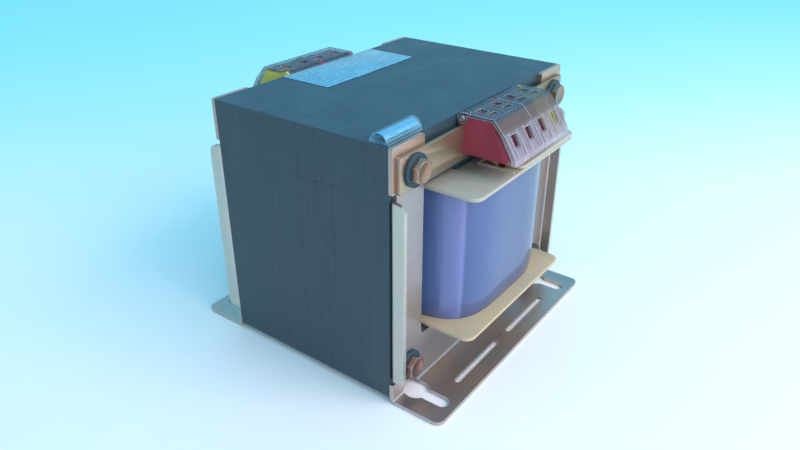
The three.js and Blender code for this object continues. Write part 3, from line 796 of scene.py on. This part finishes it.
def make_lead_plates():
    x, y, z = span("front_lead_plate")
    step = LEAD_WINDOW[0][1]
    notch = LEAD_WINDOW[1][0]
    outline = [
        *arc(x[0] + 3, y[0] + 3, 3, 180, 270, 8),
        *arc(x[1] - FLANGE_CORNER, y[0] + FLANGE_CORNER, FLANGE_CORNER, 270, 360, 10),
        (x[1], y[1]), (step, y[1]), (step, notch), (x[0], notch),
    ]
    moulding = plate("z", outline, *z, FLANGE_ROUNDING)
    place_both("lead_plate_moulding", moulding, BOBBIN, "lead_plate")


def make_tape():
    """The outer wrap: it crowns between the flanges, sinks at both rims and ends in a lapped edge."""
    steps, rows = 256, 26
    outline = superellipse(COIL_X[1], COIL_Y[1], COIL_EXPONENT, steps)
    low, high = COIL_Z
    lap_from, lap_to = math.radians(221), math.radians(229.5)
    loops = []
    for row in range(rows + 1):
        t = row / rows
        z = low + (high - low) * t
        crown = (1 - (2 * t - 1) ** 8) * 0.9
        loop = []
        for u, v in outline:
            angle = math.atan2(v / COIL_Y[1], u / COIL_X[1]) % math.tau
            flute = noise.noise(Vector((u * 0.09, v * 0.09, z * 0.012)))
            ripple = noise.noise(Vector((u * 0.35, v * 0.35, z * 0.03 + 9)))
            jag = 0.012 * noise.noise(Vector((z * 0.25, 4.0, 1.0)))
            lap = 0.14 if lap_from + jag < angle < lap_to + jag else 0.0
            inward = 1.15 - crown - lap + 0.16 * flute + 0.05 * ripple
            scale = 1 - inward / math.hypot(u, v)
            loop.append((u * scale, v * scale, z))
        loops.append(loop)
    inner = inset(superellipse(COIL_X[1] - TAPE, COIL_Y[1] - TAPE, COIL_EXPONENT, steps), 0.25)
    loops += [[(u, v, high) for u, v in inner], [(u, v, low) for u, v in inner]]
    place("outer_wrap_film", ring(loops), TAPE_FILM, replaces=["outer_wrap"])


def dress_windings():
    """The windings under the tape keep their CAD shape."""
    for node, finish in (("primary_winding", COPPER), ("secondary_winding", COPPER),
                         ("interwinding_insulation", INSULATION)):
        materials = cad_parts[node].data.materials
        materials.clear()
        materials.append(finish)


def make_leads():
    """Sleeved leads from the coil up through the lead window into the block's underside."""
    low, high = BOBBIN_Z[1] - 1.4, BLOCK_Z[0] + 1.2
    exit_y = -61.5
    for index, pole in enumerate(POLES[:3]):
        start = -8.5 + 7 * index
        points = []
        for k in range(15):
            t = k / 14
            ease = t * t * (3 - 2 * t)
            sway = 0.8 * math.sin(math.pi * t)
            points.append((start + (pole - start) * ease, exit_y + (SCREW_Y - exit_y) * ease - sway,
                           low + (high - low) * t))
        place_both(f"winding_lead_{index + 1}", tube(points, 1.15), SLEEVE)


# ---- Brackets and rails -------------------------------------------------------------------------------


def bracket():
    side = BRACKET_X[1]
    inner = side - UPRIGHT_WIDTH
    outside = BEND + SHEET
    crease = side - SHEET - 1
    plate_y = (FACE_Y - SHEET, FACE_Y)

    right = [(side, outside), (side, RELIEF_Z[0]), (crease, RELIEF_Z[0]), (crease, RELIEF_Z[1]),
             (side, RELIEF_Z[1]), *arc(side - 1, CORE_TOP - 1, 1, 0, 90, 5),
             *arc(inner + 1, CORE_TOP - 1, 1, 90, 180, 5), *arc(inner - 3, BAND_TOP + 3, 3, 0, -90, 10)]
    upright = prism("y", right + [(-x, z) for x, z in reversed(right)], *plate_y)

    centre = (FACE_Y - outside, outside)
    band = BAND_TOP - 5
    fold = [(FACE_Y, band), *arc(*centre, outside, 0, -90, 12), (BRACKET_Y[0], 0), (BRACKET_Y[0], SHEET),
            *arc(*centre, BEND, -90, 0, 12), (FACE_Y - SHEET, band)]
    plan = rounded(BRACKET_X, (BRACKET_Y[0], FACE_Y + 1), (4, 4, 0, 0), 10)
    foot = combined("INTERSECT", prism("x", fold, *BRACKET_X), prism("z", plan, -1, BAND_TOP))
    corners = ((-side - 1, -crease), (crease, side + 1))
    reliefs = [block(x, (FACE_Y - SHEET - 1, FACE_Y + 1), (RELIEF_Z[0], BAND_TOP)) for x in corners]
    foot = combined("DIFFERENCE", foot, *reliefs)

    hem_plan = [(-crease, FACE_Y), *arc(-crease, FACE_Y - SHEET - 1, SHEET + 1, 90, 180, 8),
                (-side, HEM_FRONT_Y), (SHEET - side, HEM_FRONT_Y),
                *arc(-crease, FACE_Y - SHEET - 1, 1, 180, 90, 6)]
    hem_side = rounded((HEM_FRONT_Y, FACE_Y + 1), HEM_Z, (1, 0, 0, 4.5), 8)
    hem = combined("INTERSECT", prism("z", hem_plan, *HEM_Z), prism("x", hem_side, -side - 1, -crease + 1))
    other_hem = hem.copy()
    other_hem.transform(Matrix.Scale(-1, 4, (1, 0, 0)))
    other_hem.flip_normals()

    through = (-1, outside + 0.5)
    cutters = []
    for x in (-KEYHOLE["x"], KEYHOLE["x"]):
        cutters.append(prism("z", circle(x, KEYHOLE["y"], KEYHOLE["head"], 36), *through))
        cutters.append(prism("y", circle(x, 0, KEYHOLE["head"], 36), FACE_Y - outside - 0.5, FACE_Y + 1))
        narrow = [(x - KEYHOLE["slot"], KEYHOLE["y"]), *arc(x, KEYHOLE["end"], KEYHOLE["slot"], 180, 360, 16),
                  (x + KEYHOLE["slot"], KEYHOLE["y"])]
        cutters.append(prism("z", narrow, *through))
    r = LONG_SLOT["radius"]
    near, far = LONG_SLOT["inner"] + r, LONG_SLOT["outer"] - r
    for u0, u1 in ((-far, -near), (near, far)):
        cutters.append(prism("z", slot_outline(u0, u1, LONG_SLOT["y"], r), *through))
    cutters.append(prism("z", circle(0, LONG_SLOT["y"] + 2, 1, 20), *through))
    cutters += [prism("y", circle(x, z, SHANK_HOLE, 20), -60, -49) for x in (-BOLT_X, BOLT_X) for z in BOLT_Z]
    whole = combined("UNION", upright, foot, hem, other_hem)
    return softened(combined("DIFFERENCE", whole, *cutters), 0.28)


def rail():
    holes = [circle(x, BOLT_Z[1], SHANK_HOLE, 20) for x in (-BOLT_X, BOLT_X)]
    holes += [circle(x, z, SCREW_HOLE, 16) for x, z in BLOCK_SCREWS]
    return plate("y", rounded(RAIL_X, RAIL_Z, 1.5, 6), *RAIL_Y, 0.3, holes)


# ---- Fasteners ----------------------------------------------------------------------------------------

HEX_STEPS = 48
HEX_FLATS = 10
CHAMFER_RADIUS = HEX_FLATS / 2 * 0.96
CHAMFER_FALL = 0.58
THREAD = {"crest": 2.95, "root": 2.62, "pitch": 1.0, "length": 16}


def hex_radius(angle):
    part = ((angle + math.pi / 6) % (math.pi / 3)) - math.pi / 6
    return HEX_FLATS / 2 / math.cos(part)


def hex_loop(x, z, y, drop=0.0, limit=99.0):
    """A hexagon's loop about (x, z), whose corners fall back by drop beyond the limit radius."""
    loop = []
    for k in range(HEX_STEPS):
        angle = math.tau * k / HEX_STEPS
        r = min(hex_radius(angle), limit)
        fall = drop * max(0.0, hex_radius(angle) - CHAMFER_RADIUS)
        loop.append((x + r * math.cos(angle), y + fall, z + r * math.sin(angle)))
    return loop


def round_loop(x, z, y, radius):
    angles = (math.tau * k / HEX_STEPS for k in range(HEX_STEPS))
    return [(x + radius * math.cos(a), y, z + radius * math.sin(a)) for a in angles]


def crisp(mesh):
    """Keeps sharp edges crisp in shading."""
    mesh.set_sharp_from_angle(angle=math.radians(28))
    return mesh


def bolt(x, z, top, seat, end):
    """Chamfered hex head facing front, a plain shank, and threads towards the rear end."""
    head = capped([
        round_loop(x, z, seat, 4.75), round_loop(x, z, seat - 0.25, 4.75), hex_loop(x, z, seat - 0.3),
        hex_loop(x, z, top, drop=CHAMFER_FALL), round_loop(x, z, top, CHAMFER_RADIUS),
        round_loop(x, z, top, 3.9),
        round_loop(x, z, top + 0.25, 3.3),
    ])
    crest, root, pitch = THREAD["crest"], THREAD["root"], THREAD["pitch"]
    w = end - THREAD["length"]
    profile = [(seat - 0.5, crest), (w, crest)]
    while w < end - 1.2:
        profile += [(w + 0.45 * pitch, root), (w + 0.55 * pitch, root)]
        profile += [(w + 0.95 * pitch, crest), (w + pitch, crest)]
        w += pitch
    profile += [(end - 0.5, 2.6), (end, 2.1)]
    shank = stack("y", [(y, circle(x, z, r, 24)) for y, r in profile])
    return crisp(merged(head, shank))


def nut(x, z, seat):
    """A nut whose seat faces the core and whose outer face carries the chamfer."""
    far = seat + 5
    return crisp(ring([
        round_loop(x, z, seat, 3.05), round_loop(x, z, seat, CHAMFER_RADIUS),
        hex_loop(x, z, seat, drop=CHAMFER_FALL),
        hex_loop(x, z, far, drop=-CHAMFER_FALL), round_loop(x, z, far, CHAMFER_RADIUS),
        round_loop(x, z, far, 3.5),
        round_loop(x, z, far - 0.5, 3.05),
    ]))


def washer(x, z, radius, low, high):
    sections = rim(circle(x, z, radius, 48), low, high, 0.3)
    return stack("y", sections, [[(y, circle(x, z, 3.2, 24)) for y in (low, high)]])


def make_fasteners():
    number = 0
    for x in (-BOLT_X, BOLT_X):
        for z in BOLT_Z:
            number += 1
            washer_x, washer_y = span(f"front_washer_{number}")[:2]
            bolt_y = span(f"core_bolt_{number}")[1]
            place(f"core_bolt_{number}_threaded", bolt(x, z, bolt_y[0], washer_y[0], bolt_y[1]), FASTENER,
                  replaces=[f"core_bolt_{number}"])
            place(f"core_nut_{number}_chamfered", nut(x, z, -washer_y[0]), FASTENER,
                  replaces=[f"core_nut_{number}"])
            fibre_ring = washer(x, z, (washer_x[1] - washer_x[0]) / 2, *washer_y)
            place_both(f"washer_{number}_fibre", fibre_ring, FIBRE, f"washer_{number}")


# ---- Terminal block -----------------------------------------------------------------------------------


END_EAR = (BLOCK_X[0] + 1.6, BLOCK_X[0] + 3.1)
MIDDLE_EAR = (-1, 1)


def section(low, high):
    """The block's cross-section between two places along x, notched for the cover's knuckles."""
    front, back = BLOCK_Y
    bottom = BLOCK_Z[0]
    outline = [(back, bottom), (back, BLOCK_TOP), (BLOCK_FRONT_TOP, BLOCK_TOP),
               (front, bottom + 1), (front, bottom)]
    notch = prism("x", circle(HINGE_Y, HINGE_Z, KNUCKLE_NOTCH, 28), low - 1, high + 1)
    return combined("DIFFERENCE", prism("x", outline, low, high), notch)


def ear(low, high):
    """A hinge ear: an eye round the rod, on a web back into the block."""
    web = block((low, high), (HINGE_Y - 3, HINGE_Y), (HINGE_Z - 2, BLOCK_TOP))
    eye = prism("x", circle(HINGE_Y, HINGE_Z, 2, 28), low, high)
    return combined("UNION", web, eye)


def rod_bores(places):
    return [prism("x", circle(HINGE_Y, HINGE_Z, 1.05, 20), low - 0.5, high + 0.5) for low, high in places]


def pole_hollows(x):
    """Clamp cell, screw well, flared wire entry, probe slot and lead hole of one pole."""
    front = CELL["y"][0] + 1
    wide, (low, high) = ENTRY["x"], ENTRY["z"]
    flare = 0.9
    throat = rounded((x - wide, x + wide), (low, high), 0.4, 3)
    mouth = rounded((x - wide - flare, x + wide + flare), (low - flare, high + flare), 0.8, 3)
    funnel = stack("y", [(-82, inset(mouth, -2)), (-72.5, mouth), (-70, throat), (front, throat)])
    return [
        block((x - CELL["x"], x + CELL["x"]), CELL["y"], CELL["z"]),
        prism("z", circle(x, SCREW_Y, SCREW_WELL, 28), CELL["z"][1] - 1, BLOCK_TOP + 1),
        funnel,
        block((x - PROBE_WELL["x"], x + PROBE_WELL["x"]), PROBE_WELL["y"],
              (BLOCK_TOP - PROBE_WELL["depth"], BLOCK_TOP + 1)),
        prism("z", circle(x, SCREW_Y, LEAD_HOLE, 16), BLOCK_Z[0] - 1, CELL["z"][0] + 1),
    ]


def slope_grooves(edges):
    """Shallow grooves down the front between poles."""
    grooves = []
    for x in edges:
        outline = [(BLOCK_FRONT_TOP + 0.9, BLOCK_TOP + 1), (BLOCK_FRONT_TOP - 1, BLOCK_TOP + 1),
                   (BLOCK_Y[0] - 1.5, BLOCK_Z[0] + 1), (BLOCK_Y[0] + 0.9, BLOCK_Z[0] + 1)]
        grooves.append(prism("x", outline, x - 0.35, x + 0.35))
    return grooves


def screw_socket(x, z):
    return prism("y", circle(x, z, SOCKET["radius"], 16), BLOCK_Y[1] - SOCKET["depth"], BLOCK_Y[1] + 1)


def terminal_housing():
    ears = [END_EAR, MIDDLE_EAR]
    base = combined("UNION", section(*BLOCK_X), *[ear(*e) for e in ears])
    tools = rod_bores(ears)
    for pole in POLES[:3]:
        tools += pole_hollows(pole)
    tools += [screw_socket(*place_at) for place_at in BLOCK_SCREWS[:2]]
    tools += slope_grooves([middle(pair) for pair in zip(POLES[:2], POLES[1:3])])
    return softened(combined("DIFFERENCE", base, *tools), BLOCK_EDGE)


def earth_housing():
    x = span("front_earth_housing")[0]
    recess = (POLES[3] - 2.7, POLES[3] + 2.7)
    back = BLOCK_Y[1]
    tools = pole_hollows(POLES[3])
    tools.append(block(recess, (CELL["y"][0], back + 1), (CELL["z"][0] - 0.9, CELL["z"][0] + 0.1)))
    tools.append(block(recess, (back - 0.9, back + 1), (BLOCK_Z[0] - 1, CELL["z"][0])))
    tools.append(screw_socket(*BLOCK_SCREWS[2]))
    return softened(combined("DIFFERENCE", section(*x), *tools), BLOCK_EDGE)


def end_plate():
    base = combined("UNION", section(*BLOCK_RIGHT), ear(*BLOCK_RIGHT))
    return softened(combined("DIFFERENCE", base, *rod_bores([BLOCK_RIGHT])), BLOCK_EDGE)


def clamp_screw(x):
    """A cheese head with a combined slot over a threaded shank."""
    z = span("front_clamp_screw_1")[2]
    profile = [(z[0], 1.2), (z[0] + 0.4, 1.7)]
    w = z[0] + 0.4
    while w < SCREW_SEAT - 0.9:
        profile += [(w + 0.30, 1.45), (w + 0.4, 1.45), (w + 0.65, 1.7)]
        w += 0.7
    profile += [(SCREW_SEAT, 1.6), (SCREW_SEAT, 2.2), (SCREW_SEAT + 0.15, 2.4), (z[1] - 0.45, 2.4),
                (z[1] - 0.1, 2.1), (z[1], 1.7)]
    body = stack("z", [(w, circle(x, SCREW_Y, r, 28)) for w, r in profile])
    long_slot = block((x - 3, x + 3), (SCREW_Y - 0.35, SCREW_Y + 0.35), (z[1] - 1.1, z[1] + 1))
    cross = block((x - 0.35, x + 0.35), (SCREW_Y - 1.5, SCREW_Y + 1.5), (z[1] - 0.9, z[1] + 1))
    return softened(combined("DIFFERENCE", body, long_slot, cross), 0.07)


def clamp_cage(x):
    """A folded cage: rounded corners, a threaded top, and grooves in the floor that grip the wire."""
    cage_x, cage_y, cage_z = span("front_clamp_cage_1")
    half = (cage_x[1] - cage_x[0]) / 2
    outer = prism("y", rounded((x - half, x + half), cage_z, 0.8, 5), *cage_y)
    gap, (floor, ceiling) = (x - CAGE_HOLE["x"], x + CAGE_HOLE["x"]), CAGE_HOLE["z"]
    hole = prism("y", rounded(gap, (floor, ceiling), 0.5, 4), cage_y[0] - 1, cage_y[1] + 1)
    thread = prism("z", circle(x, SCREW_Y, 1.85, 24), ceiling - 1, cage_z[1] + 1)
    tools = [hole, thread]
    for k in range(4):
        y = middle(cage_y) - 1.8 + 1.2 * k
        tools.append(block(gap, (y - 0.2, y + 0.2), (floor - 0.25, floor + 0.2)))
    return softened(combined("DIFFERENCE", outer, *tools), 0.12)


def cover(low, high, poles, ears):
    """One clear cover: knuckles on the rod, a top with tool holes, two slopes, ribs and wire windows."""
    t = COVER["sheet"]
    top, front = COVER["top"], COVER["front_top"]
    ridge, foot, lip = COVER["ridge"], COVER["foot"], COVER["lip"]
    outline = [
        (HINGE_Y, top), (front, top), ridge, foot, (lip[0], foot[1]), lip, (lip[0] + t + 0.7, lip[1]),
        (foot[0] + t * 1.1, foot[1]), (ridge[0] + t * 1.1, ridge[1] - t * 0.4),
        (front + t * 0.6, top - t), (HINGE_Y, top - t),
    ]
    shell = prism("x", outline, low, high)
    knuckle = prism("x", circle(HINGE_Y, HINGE_Z, KNUCKLE, 32), low, high)

    def rib(x, width, proud):
        run = [ridge, (ridge[0] - proud, ridge[1] - 0.6), (foot[0] - proud, foot[1] + 0.6), foot,
               (foot[0] + t * 0.9, foot[1]), (ridge[0] + t * 0.9, ridge[1] - t * 0.6)]
        return prism("x", run, x, x + width)

    end_bar, bar, proud = 1.0, 0.75, 0.8
    window = COVER["window_x"]
    bars = [rib(low, end_bar, proud), rib(high - end_bar, end_bar, proud)]
    for pole in poles:
        bars += [rib(pole + side * (window + 0.85) - bar / 2, bar, proud) for side in (-1, 1)]
    shape = combined("UNION", shell, knuckle, *bars)
    tools = [prism("x", circle(HINGE_Y, HINGE_Z, 1.08, 20), low - 1, high + 1)]
    for a, b in ears:
        tools.append(block((a - 0.2, b + 0.2), (HINGE_Y - 2.6, HINGE_Y + 4), (top - 6, top + 1)))
    half = COVER["screw_hole"] / 2
    for pole in poles:
        tools.append(block((pole - window, pole + window), (-90, -70), COVER["window_z"]))
        tools.append(block((pole - half, pole + half), (SCREW_Y - half, SCREW_Y + half), (top - 3, top + 1)))
        tools.append(block((pole - window, pole + window), COVER["probe_y"], (top - 3, top + 1)))
    return softened(combined("DIFFERENCE", shape, *tools), 0.14)


def screw_head(x, z):
    """A low pan head behind the rail, for a screw into the block's back."""
    back = RAIL_Y[1]
    profile = [(back + 0.05, 2.6), (back + 0.7, 2.6), (back + 1.2, 2.2), (back + 1.5, 1.4)]
    head = stack("y", [(w, circle(x, z, r, 24)) for w, r in profile])
    shank = stack("y", [(w, circle(x, z, 1.25, 16)) for w in (BLOCK_Y[1] - 4, back + 0.4)])
    slots = [block((x - 1.5, x + 1.5), (back + 1, back + 3), (z - 0.3, z + 0.3)),
             block((x - 0.3, x + 0.3), (back + 1, back + 3), (z - 1.5, z + 1.5))]
    return merged(softened(combined("DIFFERENCE", head, *slots), 0.08), shank)


def earth_strip():
    """A bent plated strip from under the earth clamp, down the block's back to its screw."""
    floor = CELL["z"][0]
    back = BLOCK_Y[1]
    outline = [(CELL["y"][0] + 0.3, floor - 0.8), (CELL["y"][0] + 0.3, floor - 0.15),
               *arc(back - 1.1, floor - 1.15, 1.0, 90, 0, 6), (back - 0.1, BLOCK_Z[0] + 0.2),
               (back - 0.75, BLOCK_Z[0] + 0.2), *arc(back - 1.1, floor - 1.15, 0.35, 0, 90, 6)]
    return softened(prism("x", outline, POLES[3] - 2.4, POLES[3] + 2.4), 0.1)


def make_blocks():
    place_both("foot_bracket_folded", bracket(), SHEET_METAL, "foot_bracket")
    place_both("terminal_rail_plate", rail(), RAIL_METAL, "terminal_rail")
    place_both("terminal_housing_moulding", terminal_housing(), RED, "terminal_housing")
    place_both("earth_housing_moulding", earth_housing(), EARTH, "earth_housing")
    place_both("end_plate_moulding", end_plate(), EARTH, "end_plate")
    rod = stack("x", [(w, circle(HINGE_Y, HINGE_Z, r, 20)) for w, r in (
        (BLOCK_X[0], 0.7), (BLOCK_X[0] + 0.3, 1), (BLOCK_RIGHT[1] - 0.3, 1), (BLOCK_RIGHT[1], 0.7))])
    place_both("hinge_rod_turned", crisp(rod), WIRE, "hinge_rod")
    for i, pole in enumerate(POLES, 1):
        place_both(f"clamp_screw_{i}_threaded", clamp_screw(pole), FASTENER,
                   f"clamp_screw_{i}", moves=True)
        place_both(f"clamp_cage_{i}_folded", clamp_cage(pole), BRASS,
                   f"clamp_cage_{i}", moves=True)
    for name, poles, ears in (
        ("cover_12", POLES[:2], [END_EAR, MIDDLE_EAR]),
        ("cover_34", POLES[2:], [MIDDLE_EAR, BLOCK_RIGHT]),
    ):
        low, high = span(f"front_{name}")[0]
        place_both(f"{name}_clear", cover(low, high, poles, ears), CLEAR, name, moves=True)
    for i, (x, z) in enumerate(BLOCK_SCREWS, 1):
        place_both(f"block_screw_{i}", screw_head(x, z), FASTENER)
    place_both("earth_strip", earth_strip(), RAIL_METAL)


# ---- Label and marker ---------------------------------------------------------------------------------


def arch(centre, half, base, height, steps=24):
    angles = [math.pi * i / steps for i in range(steps + 1)]
    return [(centre + half * math.cos(a), base + height * math.sin(a)) for a in angles]


def make_label_and_marker():
    x, y, z = span("rating_label")
    place("rating_label_film", plate("z", rounded(x, y, 1.2, 6), *z, 0.05), LABEL,
          replaces=["rating_label"])

    x, y, z = span("marker_carrier")
    centre, half, height = middle(y), (y[1] - y[0]) / 2, z[1] - z[0]
    wall = 0.7
    outer = arch(centre, half, z[0], height)
    inner = [(v, w) for v, w in arch(centre, half - wall, z[0], height - wall) if w > z[0] + wall]
    carrier = stack("x", rim(outer, *x, 0.2), [rim(inner, *x, 0.12, hollow=True)])
    place("marker_carrier_clear", carrier, MARKER_CLEAR, replaces=["marker_carrier"])

    x, y, z = span("marker_insert")
    card_out, card_in = (
        [(v, w) for v, w in arch(centre, half - depth, CORE_TOP, height - depth, 30) if w >= z[0]]
        for depth in (wall + 0.15, wall + 0.5)
    )
    card = stack("x", rim(card_out + card_in[::-1], *x, 0.1))
    place("marker_insert_card", card, CARD, "marker_insert", ["marker_insert"])


# ---- Stage --------------------------------------------------------------------------------------------


def make_stage():
    scene = bpy.context.scene
    scene.view_settings.view_transform = "Standard"

    lens = bpy.data.cameras.new("camera")
    lens.sensor_width = 36
    lens.lens = 31.71
    lens.clip_start = 0.01
    camera = bpy.data.objects.new("camera", lens)
    camera.location = (-0.2761, -0.2030, 0.2300)
    direction = Vector((0.7114, 0.5210, -0.4716))
    roll = Quaternion((0, 0, 1), math.radians(0.16))
    camera.rotation_mode = "QUATERNION"
    camera.rotation_quaternion = direction.to_track_quat("-Z", "Y") @ roll
    scene.collection.objects.link(camera)
    scene.camera = camera

    # The floor's colour is painted lamp falloff: warm white towards the camera's side, where two lamps fall
    # on the paper, drifting to cyan far off.
    ground = Finish("pale_floor", 0.55, Specular_IOR_Level=0.3)
    depth = ground.calc(ground.calc(ground.along("X"), ground.along("Y")), 1600, "DIVIDE")
    fade = ground.node("ShaderNodeMath", {0: depth, 1: 0.4}, operation="ADD", use_clamp=True).outputs[0]
    lamp_falloff_tone = ground.ramp(fade, (0.25, (1.0, 0.90, 0.90)), (0.5, (0.98, 0.98, 0.92)),
                       (0.72, (0.66, 0.97, 0.94)), (1.0, (0.52, 1.0, 0.96)))
    speckle = ground.ramp(ground.noise(300, detail=2), (0.4, 0.0), (0.7, 0.06))
    ground.colour(ground.mix(speckle, lamp_falloff_tone, (0.80, 0.84, 0.90)))
    ground.bump(ground.noise(2, detail=2), 0.02, 0.2)
    bm = bmesh.new()
    bmesh.ops.create_grid(bm, x_segments=8, y_segments=8, size=4)
    mesh = bpy.data.meshes.new("floor")
    bm.to_mesh(mesh)
    bm.free()
    mesh.materials.append(ground.material)
    floor = bpy.data.objects.new("floor", mesh)
    scene.collection.objects.link(floor)

    world = bpy.data.worlds.new("studio")
    world.use_nodes = True
    tree = world.node_tree
    background = tree.nodes["Background"]
    coordinates = tree.nodes.new("ShaderNodeTexCoord")
    separate = tree.nodes.new("ShaderNodeSeparateXYZ")
    ramp = tree.nodes.new("ShaderNodeValToRGB")
    tree.links.new(coordinates.outputs["Generated"], separate.inputs[0])
    tree.links.new(separate.outputs["Z"], ramp.inputs[0])
    tree.links.new(ramp.outputs[0], background.inputs[0])
    ramp.color_ramp.elements[0].color = (0.36, 0.60, 0.72, 1)
    ramp.color_ramp.elements[1].color = (0.19, 0.66, 1.0, 1)
    background.inputs[1].default_value = 1.15
    scene.world = world

    for name, at, target, size, power, colour in (
        ("key", (0.15, -1.0, 0.85), (0.05, -0.2, 0.0), 0.8, 11.2, (1.0, 0.82, 0.80)),
        ("left", (-0.5, -0.9, 0.4), (0, 0, 0.05), 0.5, 3.5, (1.0, 0.88, 0.88)),
    ):
        lamp = bpy.data.lights.new(name, "AREA")
        lamp.size = size
        lamp.energy = power
        lamp.color = colour
        holder = bpy.data.objects.new(name, lamp)
        holder.location = at
        holder.rotation_euler = (Vector(target) - Vector(at)).to_track_quat("-Z", "Y").to_euler()
        scene.collection.objects.link(holder)


make_core()
make_bobbin()
make_lead_plates()
make_tape()
dress_windings()
make_leads()
make_blocks()
make_fasteners()
make_label_and_marker()
make_stage()
